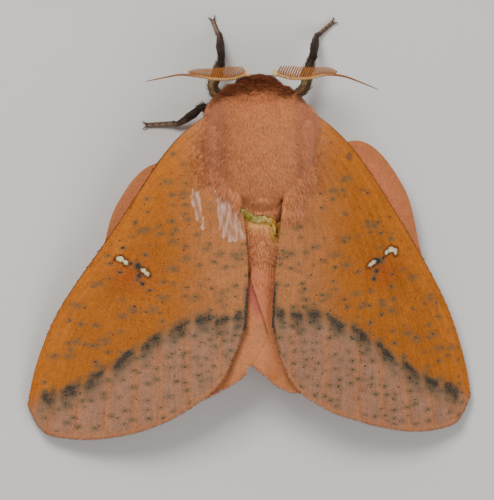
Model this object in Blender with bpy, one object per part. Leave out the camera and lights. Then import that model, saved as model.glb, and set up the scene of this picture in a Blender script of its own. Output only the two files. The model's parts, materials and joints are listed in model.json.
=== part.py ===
"""Honey locust moth, a male at rest with its wings folded like a roof.

The head points to -Y, the back to +Z and the moth's own left side to +X. The feet stand
on the floor at z = 0. Sizes and places are in millimetres; new_object makes them metres.
"""
import math
import random

import bmesh
import bpy
from mathutils import Vector

MM = 0.001
GAP = 0.3
MODEL_NAME = "honey_locust_moth"

# Wings, as seen from above on the left side
WING_THICKNESS = 0.55
ROOF_TOP = 7.25
ROOF_SLOPE = 0.343
ROOF_FALL_BACK = 0.047
ROOF_CREST_Y = 1.5
ROOF_DIP = 0.012
WING_CAMBER = 0.45
HINDWING_BELOW = 1.15
VEIN_HALF_WIDTH = 0.25
VEIN_HEIGHT = 0.2
VEIN_BOW = 0.22
CELL_END = 0.5
FOREWING = {
    "costa": [(3.2, -9.5), (7.3, -6.4), (12.0, 0.2), (15.9, 7.0), (17.75, 13.2)],
    "inner": [(2.4, -6.5), (1.8, -2.6), (1.35, 1.2), (1.05, 4.7), (1.05, 8.0)],
    "margin": [(17.75, 13.2), (17.0, 15.75), (14.3, 16.7), (11.4, 16.6), (8.6, 15.95),
               (5.9, 14.85), (3.5, 13.25), (1.8, 10.85), (1.05, 8.0)],
    "swell": (0.8, -0.8),
    # each vein: share of the root, end of the closed cell, share of the margin, first rise
    "veins": [(0.08, (11.6, 1.3), 0.06, 0.0), (0.18, (11.0, 2.1), 0.155, CELL_END),
              (0.27, (10.5, 2.75), 0.237, CELL_END), (0.36, (9.95, 3.25), 0.33, CELL_END),
              (0.45, (9.35, 3.65), 0.43, CELL_END), (0.55, (8.6, 3.9), 0.527, 0.0),
              (0.66, (6.4, 3.3), 0.64, 0.34), (0.85, (3.3, 2.2), 0.79, 0.0)],
    "cell": (1, 6),
}
HINDWING = {
    "costa": [(3.2, -4.6), (8.4, -5.1), (11.6, -1.7), (13.2, 2.6), (14.6, 6.6)],
    "inner": [(2.8, -1.6), (2.5, 1.6), (2.1, 4.8), (1.3, 8.2), (0.17, 11.3)],
    "margin": [(14.6, 6.6), (14.3, 9.4), (12.7, 11.9), (10.0, 13.4), (7.0, 14.0),
               (4.0, 13.7), (1.7, 12.9), (0.17, 11.3)],
    "swell": (0.4, -0.4),
    "veins": [(0.1, (10.6, 1.0), 0.1, 0.0), (0.25, (9.6, 2.3), 0.24, CELL_END),
              (0.4, (8.6, 3.1), 0.38, CELL_END), (0.52, (7.6, 3.8), 0.52, 0.0),
              (0.65, (5.8, 4.2), 0.66, 0.3), (0.82, (3.9, 4.6), 0.83, 0.0)],
    "cell": (1, 4),
}
HINDWING_FORWARD = {1: (0.0, 0.0), -1: (0.9, -1.2)}

# Body
THORAX_MIDDLE = (0.0, -5.6, 5.0)
THORAX_HALF = (4.0, 5.0, 2.9)
SHOULDER_SWELL = 0.22
WAIST_Y = -1.2
ABDOMEN_START = (0.0, -2.4, 4.5)
ABDOMEN_TIP = (-0.6, 8.7, 4.25)
ABDOMEN_RADIUS = 1.95
ABDOMEN_RINGS = 7
HEAD_MIDDLE = (-0.3, -11.4, 4.6)
HEAD_HALF = (1.55, 1.15, 1.4)
EYE_RADIUS = 0.78
EYE_SET = (1.25, -0.4, -0.25)
PALP_LINE = [(0.35, -0.6, -0.7), (0.4, -1.1, -0.95), (0.42, -1.45, -1.0), (0.42, -1.75, -0.9)]
PALP_WIDTH = 0.65
TUFT_WIDTH = 0.7

# Coat
LOCK_THICKNESS = 0.5
LOCK_SUNK = 0.4
LOCK_LENGTH = 2.2
LOCK_WIDTH = 1.15
COAT_DEPTH = 0.55
COAT_OVER_WING = 0.2
BACK_ROWS = 8
TEGULA_COUNT = 6
TAIL_LOCKS = 8
SEED = 7

# Antennae
ANTENNA_BASE = (0.95, -0.75, 0.8)
ANTENNA_TIP = {1: (8.3, 0.7, -0.2), -1: (-8.4, 1.6, -0.2)}
COMB_SHARE = 0.66
COMB_REACH = 1.05
COMB_PITCH = 0.64
BRANCH_WIDTH = 0.5
SHAFT_RADIUS = 0.26

# Legs, each from the body to the claws
FOOT_RADIUS = 0.25
CLAW_LENGTH = 0.55
CLAW_SPREAD = 0.4
TARSUS_JOINTS = 6
LEG_SIZES = {"femur": 0.5, "tibia": 0.42, "tarsus": FOOT_RADIUS}
LEGS = {
    "foreleg_left": [(1.3, -9.2, 2.9), (2.9, -10.9, 2.5), (2.3, -13.4, 2.7),
                     (2.0, -15.2, 0.8), (2.4, -16.5, 0.2)],
    "foreleg_right": [(-1.5, -9.2, 2.9), (-4.3, -10.7, 2.5), (-5.2, -13.4, 2.7),
                      (-5.9, -15.0, 0.8), (-7.4, -16.15, 0.2)],
    "midleg_left": [(1.5, -7.0, 2.8), (2.4, -8.2, 1.9), (3.8, -9.5, 2.6),
                    (5.4, -8.3, 0.8), (8.0, -8.2, 0.2)],
    "midleg_right": [(-1.5, -7.0, 2.8), (-2.8, -7.4, 1.9), (-4.9, -6.6, 2.6),
                     (-5.9, -4.9, 0.8), (-7.2, -3.4, 0.2)],
    "hindleg_left": [(1.4, -4.4, 2.8), (2.6, -3.6, 1.9), (4.6, -1.0, 2.7),
                     (6.0, 2.4, 0.8), (7.4, 5.4, 0.2)],
    "hindleg_right": [(-1.4, -4.4, 2.8), (-2.6, -3.6, 1.9), (-4.7, -1.2, 2.7),
                      (-6.2, 2.2, 0.8), (-7.6, 5.2, 0.2)],
}

# Colours
ORANGE = (0.72, 0.25, 0.05)
SALMON = (0.72, 0.30, 0.17)
ROSE = (0.70, 0.22, 0.14)
BROWN = (0.22, 0.09, 0.04)
RAMI_BROWN = (0.45, 0.17, 0.05)
EYE_BLACK = (0.02, 0.012, 0.01)


def smooth(points, t):
    """The point at t, from 0 to 1, of a smooth curve through evenly spaced points."""
    line = [Vector(point) for point in points]
    line = [2 * line[0] - line[1]] + line + [2 * line[-1] - line[-2]]
    place = t * (len(line) - 3)
    i = min(int(place), len(line) - 4)
    f = place - i
    a, b, c, d = line[i:i + 4]
    return 0.5 * (2 * b + (c - a) * f + (2 * a - 5 * b + 4 * c - d) * f ** 2
                  + (3 * b - a - 3 * c + d) * f ** 3)


def finish_material(name, colour, roughness):
    """A plain finish for one node."""
    material = bpy.data.materials.new(name)
    material.use_nodes = True
    shader = material.node_tree.nodes["Principled BSDF"]
    shader.inputs["Base Color"].default_value = (*colour, 1.0)
    shader.inputs["Roughness"].default_value = roughness
    shader.inputs["Metallic"].default_value = 0.0
    return material


def new_object(name, bm, collection):
    """Turn a mesh in millimetres into an object in metres."""
    bmesh.ops.scale(bm, vec=(MM, MM, MM), verts=bm.verts)
    mesh = bpy.data.meshes.new(name)
    bm.to_mesh(mesh)
    bm.free()
    made = bpy.data.objects.new(name, mesh)
    collection.objects.link(made)
    return made


def lump(name, segments, rings, place, collection):
    """A closed body: a sphere whose points move to place(t, turn), t from pole to pole."""
    bm = bmesh.new()
    bmesh.ops.create_uvsphere(bm, u_segments=segments, v_segments=rings, radius=1.0)
    for vert in bm.verts:
        t = math.acos(max(-1.0, min(1.0, vert.co.z))) / math.pi
        vert.co = place(t, math.atan2(vert.co.y, vert.co.x))
    face_out(bm)
    return new_object(name, bm, collection)


def face_out(bm):
    """Turn the faces of a closed mesh outwards."""
    bmesh.ops.recalc_face_normals(bm, faces=bm.faces)
    if bm.calc_volume(signed=True) < 0.0:
        bmesh.ops.reverse_faces(bm, faces=bm.faces)


def clip(thing, point, normal):
    """Cut a closed object off flat at a plane, on the side that normal points to."""
    bm = bmesh.new()
    bm.from_mesh(thing.data)
    cut = bmesh.ops.bisect_plane(
        bm, geom=bm.verts[:] + bm.edges[:] + bm.faces[:], dist=1e-9,
        plane_co=Vector(point) * MM, plane_no=normal, clear_outer=True)
    rim = [item for item in cut["geom_cut"] if isinstance(item, bmesh.types.BMEdge)]
    bmesh.ops.contextual_create(bm, geom=rim)
    face_out(bm)
    bm.to_mesh(thing.data)
    bm.free()


def carve(thing, cutter):
    """Take the cutter away from an object, for good."""
    cut = thing.modifiers.new("cut", "BOOLEAN")
    cut.operation = "DIFFERENCE"
    cut.solver = "EXACT"
    cut.object = cutter
    bpy.context.view_layer.update()
    bake(thing)
    bpy.data.objects.remove(cutter)


def bake(thing):
    """Replace an object's mesh by what its modifiers make of it."""
    graph = bpy.context.evaluated_depsgraph_get()
    made = bpy.data.meshes.new_from_object(thing.evaluated_get(graph))
    thing.modifiers.clear()
    thing.data = made


def fuse(thing, others):
    """Join closed objects into one body, for good."""
    bunch = bpy.data.collections.new("pieces")
    bpy.context.scene.collection.children.link(bunch)
    for other in others:
        for holder in other.users_collection:
            holder.objects.unlink(other)
        bunch.objects.link(other)
    join = thing.modifiers.new("join", "BOOLEAN")
    join.operation = "UNION"
    join.solver = "EXACT"
    join.operand_type = "COLLECTION"
    join.collection = bunch
    bpy.context.view_layer.update()
    bake(thing)
    for other in list(bunch.objects):
        bpy.data.objects.remove(other)
    bpy.data.collections.remove(bunch)
    keep_largest(thing)


def islands(bm):
    """The separate surfaces of a mesh, each as a list of faces."""
    waiting = set(bm.faces)
    found = []
    while waiting:
        stack = [waiting.pop()]
        surface = []
        while stack:
            face = stack.pop()
            surface.append(face)
            for edge in face.edges:
                for near in edge.link_faces:
                    if near in waiting:
                        waiting.remove(near)
                        stack.append(near)
        found.append(surface)
    return found


def keep_largest(thing):
    """Drop every closed surface but the one with the most area."""
    bm = bmesh.new()
    bm.from_mesh(thing.data)
    surfaces = sorted(islands(bm), key=lambda faces: sum(f.calc_area() for f in faces))
    for surface in surfaces[:-1]:
        bmesh.ops.delete(bm, geom=surface, context="FACES")
    bmesh.ops.triangulate(bm, faces=bm.faces)
    bm.to_mesh(thing.data)
    bm.free()


def roof(x, y):
    """Height of the forewings' upper side over the floor, before their camber."""
    dip = ROOF_DIP * max(0.0, ROOF_CREST_Y - y) ** 2
    return ROOF_TOP - ROOF_SLOPE * (abs(x) - 1.0) - ROOF_FALL_BACK * (y - ROOF_CREST_Y) - dip


def vein_line(plan, vein):
    """Evenly spaced points along one vein, from the wing's root to its margin."""
    root_share, cell, margin_share, _ = vein
    root = Vector(plan["costa"][0]).lerp(Vector(plan["inner"][0]), root_share)
    cell = Vector(cell)
    end = smooth(plan["margin"], margin_share)
    near = root.lerp(cell, 0.5) + Vector(plan["swell"]) * (1.0 - root_share)
    far = cell.lerp(end, 0.5) + Vector((VEIN_BOW * (end.x - cell.x), 0.0))
    return [root, near, cell, far, end]


def wing_columns(plan):
    """Where the sheet's columns lie among its lines, and whether each is a ridge."""
    count = len(plan["veins"])
    columns = [(0, 0, False)]
    for k in range(1, count + 1):
        columns += [(k, -1, False), (k, 0, True), (k, 1, False)]
    columns.insert(-3, (count - 0.5, 0, False))
    columns += [(count + 0.5, 0, False), (count + 1, 0, False)]
    return columns


def wing(name, plan, side, drop, camber, collection):
    """A wing: a thin curved sheet whose veins are ridges raised in its surface."""
    lines = [plan["costa"]] + [vein_line(plan, vein) for vein in plan["veins"]]
    lines.append(plan["inner"])
    rises = [vein[3] for vein in plan["veins"]]
    columns = wing_columns(plan)
    rows = [0.0, 0.1, 0.2, 0.3, 0.4, 0.48, CELL_END, 0.52, 0.6, 0.7, 0.8, 0.9, 1.0]
    bm = bmesh.new()
    bmesh.ops.create_grid(bm, x_segments=len(columns) - 1, y_segments=len(rows) - 1, size=1.0)
    verts = iter(bm.verts[:])
    for v in rows:
        knots = [smooth(line, v) for line in lines]
        for k, step, ridge in columns:
            share = (k + step * ridge_step(knots, int(k))) / (len(knots) - 1)
            spot = smooth(knots, share)
            height = roof(*spot) - drop + camber * min(1.0, 3.0 * v) * math.sin(math.pi * share)
            if ridge and v >= rises[k - 1] or v == CELL_END and on_cell(plan, k, step):
                height += VEIN_HEIGHT
            next(verts).co = (side * spot.x, spot.y, height)
    bmesh.ops.triangulate(bm, faces=bm.faces)
    under = bmesh.ops.extrude_face_region(bm, geom=bm.faces[:])["geom"]
    under = [item for item in under if isinstance(item, bmesh.types.BMVert)]
    bmesh.ops.translate(bm, vec=(0.0, 0.0, -WING_THICKNESS), verts=under)
    bmesh.ops.triangulate(bm, faces=bm.faces)
    face_out(bm)
    return new_object(name, bm, collection)


def ridge_step(knots, k):
    """How far beside line k a ridge's foot lies, as a share of the way to the next."""
    nearest = min((knots[i + 1] - knots[i]).length
                  for i in (max(0, k - 1), min(k, len(knots) - 2)))
    return min(0.3, VEIN_HALF_WIDTH / max(nearest, 0.01))


def on_cell(plan, k, step):
    """Whether a column crosses the vein that closes the cell."""
    first, last = plan["cell"]
    return first <= k + 0.1 * step <= last


def thorax_point(t, turn, coat):
    """A point of the thorax, its surface moved out by coat."""
    full = math.sin(math.pi * t) ** 0.65 * (1.06 - 0.22 * t)
    shoulder = 1.0 + SHOULDER_SWELL * math.exp(-((t - 0.18) / 0.12) ** 2)
    y = THORAX_MIDDLE[1] - (THORAX_HALF[1] + coat) * math.cos(math.pi * t)
    x = (THORAX_HALF[0] + coat) * full * shoulder * math.cos(turn)
    z = (THORAX_HALF[2] + coat) * full * math.sin(turn)
    return Vector((x, y, THORAX_MIDDLE[2] + z))


def loft(name, rings, tip, collection):
    """A closed body through rings of points, ending in a tip."""
    bm = bmesh.new()
    rows = [[bm.verts.new(point) for point in ring] for ring in rings]
    bm.faces.new(rows[0])
    for near, far in zip(rows, rows[1:]):
        for i in range(len(near)):
            j = (i + 1) % len(near)
            bm.faces.new((near[i], near[j], far[j], far[i]))
    end = bm.verts.new(tip)
    for i in range(len(rows[-1])):
        bm.faces.new((rows[-1][i], rows[-1][(i + 1) % len(rows[-1])], end))
    bmesh.ops.triangulate(bm, faces=bm.faces)
    face_out(bm)
    return new_object(name, bm, collection)


def lock(path, width, up, collection):
    """A flat tapering lock that bends along a path of four points."""
    rings = []
    for i, share in enumerate((0.8, 1.0, 0.7)):
        along = (path[i + 1] - path[i]).normalized()
        across = along.cross(up).normalized()
        rise = across.cross(along).normalized() * LOCK_THICKNESS / 2
        across = across * width / 2 * share
        rings.append([path[i] + across, path[i] + rise, path[i] - across, path[i] - rise])
    return loft("lock", rings, path[3], collection)


def over_wing(point):
    """Lift a point of the back's coat clear of the wings' roots and the abdomen."""
    lowest = 0.0
    if abs(point.x) > 1.0:
        lowest = roof(point.x, point.y) + GAP + LOCK_THICKNESS / 2 + COAT_OVER_WING
    if point.y > WAIST_Y - GAP:
        lowest = max(lowest, ABDOMEN_START[2] + ABDOMEN_RADIUS + GAP + LOCK_THICKNESS / 2)
    point.z = max(point.z, lowest)
    return point


def under_wings(point):
    """The height that a lock on the flank keeps below, so that it clears the wings' roots."""
    drop = HINDWING_BELOW if point.y > HINDWING["costa"][0][1] - 1.0 else 0.0
    return roof(point.x, point.y) - drop - WING_THICKNESS - GAP - LOCK_THICKNESS / 2


def back_locks(rng, collection):
    """Rows of locks lying backwards over the top of the thorax."""
    locks = []
    for row in range(BACK_ROWS):
        t = 0.1 + 0.74 * row / (BACK_ROWS - 1)
        step = LOCK_LENGTH / (3 * math.pi * THORAX_HALF[1] * math.sin(math.pi * t))
        for k in range(-4, 5):
            turn = math.radians(90.0 + 16.5 * (k + 0.5 * (row % 2)) + rng.uniform(-2.5, 2.5))
            root = thorax_point(t, turn, 0.0)
            if abs(root.x) > 1.0 and root.z < roof(root.x, root.y) + GAP + LOCK_THICKNESS / 2:
                continue
            drift = math.radians(rng.uniform(-4.0, 4.0))
            lifts = (-LOCK_SUNK, 0.3, COAT_DEPTH, 0.8 * COAT_DEPTH)
            path = [thorax_point(min(0.98, t + i * step), turn + i * drift, lifts[i])
                    for i in range(4)]
            path[1:] = [over_wing(point) for point in path[1:]]
            up = (path[1] - Vector(THORAX_MIDDLE)).normalized()
            locks.append(lock(path, LOCK_WIDTH * rng.uniform(0.9, 1.1), up, collection))
    return locks


def tegula_locks(rng, collection):
    """Long locks that fan from each shoulder over the root of the forewing."""
    locks = []
    for side in (1, -1):
        for k in range(TEGULA_COUNT):
            share = k / (TEGULA_COUNT - 1)
            root = thorax_point(0.16 + 0.36 * share, math.radians(90.0 - 42.0 * side), -LOCK_SUNK)
            out = side * (2.1 - 1.0 * share) * rng.uniform(0.92, 1.08)
            back = 1.9 + 0.7 * share
            path = [root, root + Vector((0.45 * out, 0.25 * back, 0.25)),
                    root + Vector((0.85 * out, 0.6 * back, -0.2)),
                    root + Vector((out, back, -0.9))]
            path[1:] = [over_wing(point) for point in path[1:]]
            locks.append(lock(path, LOCK_WIDTH, Vector((0.0, 0.0, 1.0)), collection))
    return locks


def flank_locks(rng, collection):
    """Short locks on the shoulders and sides, below the wings and above the legs."""
    locks = []
    for side in (1, -1):
        for row, lean in enumerate((4.0, -14.0)):
            for k in range(5):
                t = 0.1 + 0.1 * k + 0.05 * row
                angle = math.radians(lean)
                turn = angle if side == 1 else math.pi - angle
                step = 0.7 * LOCK_LENGTH / (3 * math.pi * THORAX_HALF[1] * math.sin(math.pi * t))
                lifts = (-LOCK_SUNK, 0.2, 0.8 * COAT_DEPTH, 0.9 * COAT_DEPTH)
                path = [thorax_point(t + i * step, turn, lifts[i]) for i in range(4)]
                if any(point.z > under_wings(point) for point in path):
                    continue
                locks.append(lock(path, LOCK_WIDTH * rng.uniform(0.9, 1.1),
                                  Vector((side, 0.0, 0.0)), collection))
    return locks


def head_locks(collection):
    """The tuft on the crown of the head, and the two palps below its face."""
    locks = []
    for t, turns in ((0.22, (90,)), (0.38, (58, 90, 122)), (0.52, (30, 60, 90, 120, 150))):
        for turn in turns:
            path = [head_point(t + 0.05 * i, math.radians(turn), lift)
                    for i, lift in enumerate((-LOCK_SUNK, 0.2, 0.5, 0.75))]
            locks.append(lock(path, TUFT_WIDTH, Vector((0.0, 1.0, 0.0)), collection))
    for side in (1, -1):
        path = [Vector(HEAD_MIDDLE) + Vector((side * x, y, z)) for x, y, z in PALP_LINE]
        locks.append(lock(path, PALP_WIDTH, Vector((0.0, 0.0, 1.0)), collection))
    return locks


def tail_locks(collection):
    """The brush of hair round the abdomen's tip."""
    locks = []
    tip = Vector(ABDOMEN_TIP)
    for k in range(TAIL_LOCKS):
        turn = 2.0 * math.pi * (k + 0.5) / TAIL_LOCKS
        around = Vector((math.cos(turn), 0.0, math.sin(turn)))
        path = [abdomen_point(0.72, turn, -LOCK_SUNK), abdomen_point(0.78, turn, 0.15),
                abdomen_point(0.86, turn, 0.25), tip + 0.35 * around + Vector((0.0, 0.45, 0.0))]
        locks.append(lock(path, 0.8 * LOCK_WIDTH, around, collection))
    return locks


def thorax_body(name, coat, collection):
    """The thorax without its locks."""
    return lump(name, 32, 20, lambda t, turn: thorax_point(t, turn, coat), collection)


def abdomen_point(t, turn, coat):
    """A point of the abdomen, with a groove between its rings."""
    axis = Vector(ABDOMEN_START).lerp(Vector(ABDOMEN_TIP), 0.5 - 0.5 * math.cos(math.pi * t))
    share = 0.5 - 0.5 * math.cos(math.pi * t)
    full = math.sqrt(max(0.0, 1.0 - share ** 2.2)) * min(1.0, 4.0 * math.sin(math.pi * t))
    groove = 1.0 - 0.04 * abs(math.sin(math.pi * ABDOMEN_RINGS * share)) ** 6
    radius = ABDOMEN_RADIUS * full * groove + coat * min(1.0, 3.0 * full)
    return axis + radius * Vector((math.cos(turn), 0.0, math.sin(turn)))


def abdomen_body(name, coat, collection):
    """The abdomen, cut off flat where it meets the thorax."""
    return lump(name, 20, 26, lambda t, turn: abdomen_point(t, turn, coat), collection)


def head_point(t, turn, coat):
    """A point of the head."""
    y = -(HEAD_HALF[1] + coat) * math.cos(math.pi * t)
    ring = math.sin(math.pi * t)
    x = (HEAD_HALF[0] + coat) * ring * math.cos(turn)
    z = (HEAD_HALF[2] + coat) * ring * math.sin(turn)
    return Vector(HEAD_MIDDLE) + Vector((x, y, z))


def head_body(name, coat, collection):
    """The head without its tuft."""
    return lump(name, 20, 14, lambda t, turn: head_point(t, turn, coat), collection)


def eye_point(side, t, turn, coat):
    """A point of one eye."""
    radius = EYE_RADIUS + coat
    ring = radius * math.sin(math.pi * t)
    place = Vector(HEAD_MIDDLE) + Vector((side * EYE_SET[0], EYE_SET[1], EYE_SET[2]))
    return place + Vector((ring * math.cos(turn), ring * math.sin(turn),
                           radius * math.cos(math.pi * t)))


def tube(name, points, radii, collection):
    """A round tube through points in millimetres, as a closed mesh."""
    curve = bpy.data.curves.new(name, "CURVE")
    curve.dimensions = "3D"
    curve.bevel_depth = MM
    curve.bevel_resolution = 2
    curve.use_fill_caps = True
    spline = curve.splines.new("POLY")
    spline.points.add(len(points) - 1)
    for i, point in enumerate(points):
        spline.points[i].co = (*(Vector(point) * MM), 1.0)
        spline.points[i].radius = radii[i]
    drawn = bpy.data.objects.new(name + "_line", curve)
    collection.objects.link(drawn)
    bpy.context.view_layer.update()
    graph = bpy.context.evaluated_depsgraph_get()
    mesh = bpy.data.meshes.new_from_object(drawn.evaluated_get(graph))
    made = bpy.data.objects.new(name, mesh)
    made.matrix_world = drawn.matrix_world
    collection.objects.link(made)
    bpy.data.objects.remove(drawn)
    bm = bmesh.new()
    bm.from_mesh(mesh)
    bmesh.ops.remove_doubles(bm, verts=bm.verts, dist=0.0001 * MM)
    face_out(bm)
    bm.to_mesh(mesh)
    bm.free()
    return made


def leg(name, joints, collection):
    """A leg from the body to its claws, cut flat on the floor."""
    hip, bend, knee, ankle, foot = [Vector(joint) for joint in joints]
    femur = LEG_SIZES["femur"]
    tibia = LEG_SIZES["tibia"]
    points = [hip, bend, bend.lerp(knee, 0.4), knee, knee.lerp(ankle, 0.15),
              knee.lerp(ankle, 0.6), ankle]
    radii = [femur, femur, 1.1 * femur, 0.8 * femur, 0.9 * tibia, 1.15 * tibia, 0.8 * tibia]
    for i in range(1, TARSUS_JOINTS + 1):
        points.append(ankle.lerp(foot, i / TARSUS_JOINTS))
        points[-1].z = FOOT_RADIUS * 0.8 + (ankle.z - FOOT_RADIUS) * (1 - i / TARSUS_JOINTS) ** 2
        radii.append(FOOT_RADIUS * (1.15 if i % 2 else 1.0))
    made = tube(name, points, radii, collection)
    along = (foot - ankle)
    along.z = 0.0
    along.normalize()
    aside = along.cross(Vector((0.0, 0.0, 1.0)))
    claws = []
    for side in (1, -1):
        path = [foot + along * CLAW_LENGTH * out + aside * side * CLAW_SPREAD * wide
                + Vector((0.0, 0.0, rise))
                for out, wide, rise in ((-0.4, 0.1, 0.05), (0.1, 0.35, 0.12),
                                        (0.6, 0.8, 0.1), (1.0, 1.0, -0.15))]
        claws.append(lock(path, 0.3, Vector((0.0, 0.0, 1.0)), collection))
    fuse(made, claws)
    clip(made, (0.0, 0.0, 0.0), (0.0, 0.0, -1.0))
    return made


def antenna(name, side, collection):
    """A feeler: a shaft with a comb of branches to the front, then a bare tapering tip."""
    base = Vector(HEAD_MIDDLE) + Vector((side * ANTENNA_BASE[0], ANTENNA_BASE[1], ANTENNA_BASE[2]))
    tip = base + Vector(ANTENNA_TIP[side])
    middle = base.lerp(tip, 0.5) + Vector((0.0, -0.45, 0.25))
    line = [base, base.lerp(middle, 0.5) + Vector((0.0, -0.1, 0.05)), middle,
            middle.lerp(tip, 0.5) + Vector((0.0, -0.1, 0.05)), tip]
    count = 13
    points = [smooth(line, i / (count - 1)) for i in range(count)]
    radii = [SHAFT_RADIUS * min(1.0, 1.75 - 1.5 * i / (count - 1)) for i in range(count)]
    made = tube(name, points, radii, collection)
    branches = []
    length = (tip - base).length
    for i in range(int(COMB_SHARE * length / COMB_PITCH)):
        share = (0.75 + i) * COMB_PITCH / length
        reach = COMB_REACH * min(1.0, 0.75 + share) * min(1.0, 2.6 * (COMB_SHARE + 0.08 - share))
        for rise in (0.42, -0.42):
            root = smooth(line, share + (0.02 if rise < 0 else 0.0))
            way = Vector((0.45 * side, -0.85, rise)).normalized() * reach
            path = [root, root + way * 0.4, root + way * 0.75 + Vector((0.04 * side, 0.0, 0.0)),
                    root + way + Vector((0.12 * side, 0.0, 0.0))]
            branches.append(lock(path, BRANCH_WIDTH, Vector((0.0, 0.0, 1.0)), collection))
    fuse(made, branches)
    return made


def build():
    """Make every node in its place."""
    for old in list(bpy.data.objects):
        bpy.data.objects.remove(old)
    model = bpy.data.collections.new(MODEL_NAME)
    bpy.context.scene.collection.children.link(model)
    rng = random.Random(SEED)

    thorax = thorax_body("thorax", 0.0, model)
    fuse(thorax, back_locks(rng, model) + tegula_locks(rng, model) + flank_locks(rng, model))
    carve(thorax, head_body("cut", GAP, model))
    clip(thorax, (0.0, WAIST_Y, 0.0), (0.0, 1.0, 0.0))
    keep_largest(thorax)
    abdomen = abdomen_body("abdomen", 0.0, model)
    fuse(abdomen, tail_locks(model))
    clip(abdomen, (0.0, WAIST_Y + GAP, 0.0), (0.0, -1.0, 0.0))

    head = head_body("head", 0.0, model)
    fuse(head, head_locks(model))
    for side, word in ((1, "left"), (-1, "right")):
        carve(head, lump("cut", 14, 10, lambda t, turn: eye_point(side, t, turn, GAP), model))
        lump(f"eye_{word}", 14, 10, lambda t, turn: eye_point(side, t, turn, 0.0), model)
        feeler = antenna(f"antenna_{word}", side, model)
        carve(feeler, head_body("cut", GAP, model))
        keep_largest(feeler)
        forewing = wing(f"forewing_{word}", FOREWING, side, 0.0, WING_CAMBER, model)
        carve(forewing, thorax_body("cut", GAP, model))
        keep_largest(forewing)
        push = Vector(HINDWING_FORWARD[side])
        plan = dict(HINDWING)
        plan["costa"] = [Vector(p) + push * share for p, share in
                         zip(HINDWING["costa"], (0.0, 0.8, 1.0, 0.7, 0.0))]
        hindwing = wing(f"hindwing_{word}", plan, side, HINDWING_BELOW, 0.0, model)
        carve(hindwing, thorax_body("cut", GAP, model))
        carve(hindwing, abdomen_body("cut", GAP, model))
        keep_largest(hindwing)
    keep_largest(head)
    for name, joints in LEGS.items():
        made = leg(name, joints, model)
        carve(made, thorax_body("cut", GAP, model))
        keep_largest(made)
    paint(model)


def paint(model):
    """Give each node its finish."""
    colours = {"thorax": SALMON, "abdomen": SALMON, "head": BROWN, "eye": EYE_BLACK,
               "antenna": RAMI_BROWN, "forewing": ORANGE, "hindwing": ROSE,
               "foreleg": BROWN, "midleg": BROWN, "hindleg": BROWN}
    for thing in model.objects:
        colour = colours[thing.name.split("_")[0]]
        roughness = 0.2 if thing.name.startswith("eye") else 0.85
        thing.data.materials.clear()
        thing.data.materials.append(finish_material(thing.name + "_finish", colour, roughness))
        thing.data.shade_smooth()
        thing.data.set_sharp_from_angle(angle=math.radians(40.0))


build()
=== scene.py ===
# %% [markdown]
# # A honey locust moth in its summer fur
# The solids of this moth already stand in their place: wings folded like a roof, feelers
# spread, six feet on the floor. This lesson dresses them. It goes from large to small: first
# the bare skin and the wings, then the scales and hairs that grow on them.

# %% Open the frame
import json
import math

import bpy
import numpy as np
from mathutils import Matrix, Vector
from mathutils.bvhtree import BVHTree

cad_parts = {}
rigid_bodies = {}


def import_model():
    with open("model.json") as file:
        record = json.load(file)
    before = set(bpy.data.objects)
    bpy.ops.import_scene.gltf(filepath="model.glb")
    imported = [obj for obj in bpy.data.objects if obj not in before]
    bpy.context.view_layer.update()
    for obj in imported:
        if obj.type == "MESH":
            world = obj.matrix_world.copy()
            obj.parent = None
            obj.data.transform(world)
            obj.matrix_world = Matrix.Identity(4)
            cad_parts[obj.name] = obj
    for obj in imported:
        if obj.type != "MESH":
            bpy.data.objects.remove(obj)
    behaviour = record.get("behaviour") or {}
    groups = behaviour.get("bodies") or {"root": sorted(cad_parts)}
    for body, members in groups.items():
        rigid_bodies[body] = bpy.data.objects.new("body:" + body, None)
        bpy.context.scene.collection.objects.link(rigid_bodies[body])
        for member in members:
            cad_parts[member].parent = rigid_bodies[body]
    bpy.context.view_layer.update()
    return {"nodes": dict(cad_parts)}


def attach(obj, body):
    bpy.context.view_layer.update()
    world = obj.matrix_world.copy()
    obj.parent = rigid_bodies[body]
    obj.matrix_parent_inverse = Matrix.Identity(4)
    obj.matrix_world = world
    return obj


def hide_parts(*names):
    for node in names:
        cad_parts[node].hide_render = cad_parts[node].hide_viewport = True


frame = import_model()
print("solids:", len(frame["nodes"]), "nodes")

# %% [markdown]
# ## Working in millimetres
# The moth is 35 mm wide and Blender counts in metres, so every size here is a number of
# millimetres and is shrunk once, when a mesh is made. A mesh could be edited by hand, but
# numpy arrays make thousands of points at a time and give the same moth on every run.

# %% Units and the piece maker
MM = 0.001
SEED = 11


def make_piece(name, points, faces, material, replaces=()):
    """A mesh from points in millimetres, riding on the moth's one body."""
    mesh = bpy.data.meshes.new(name)
    mesh.from_pydata(np.asarray(points, float) * MM, [], faces)
    mesh.materials.append(material)
    mesh.shade_smooth()
    piece = bpy.data.objects.new(name, mesh)
    bpy.context.scene.collection.objects.link(piece)
    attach(piece, "root")
    if replaces:
        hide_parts(*replaces)
    print(f"{name}: {len(mesh.vertices)} points, {len(mesh.polygons)} faces")
    return piece


# %% [markdown]
# ## Facts that ride on the points
# A colour that follows the animal, such as a dark line that crosses one wing, is worked out
# once for each point and stored there as an attribute. The material then reads it back. The
# same rule can be asked for a hair's root, and so hair and skin agree.

# %% Store values on points
ATTRIBUTE_FIELD = {"FLOAT": "value", "FLOAT_VECTOR": "vector", "FLOAT_COLOR": "color"}


def store(piece, facts):
    """Writes named arrays onto the points: one column is a number, three a place, four a colour."""
    for name, values in facts.items():
        values = np.asarray(values, float)
        wide = 1 if values.ndim == 1 else values.shape[1]
        kind = {1: "FLOAT", 3: "FLOAT_VECTOR", 4: "FLOAT_COLOR"}[wide]
        layer = piece.data.attributes.new(name, kind, "POINT")
        layer.data.foreach_set(ATTRIBUTE_FIELD[kind], values.ravel())


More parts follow.
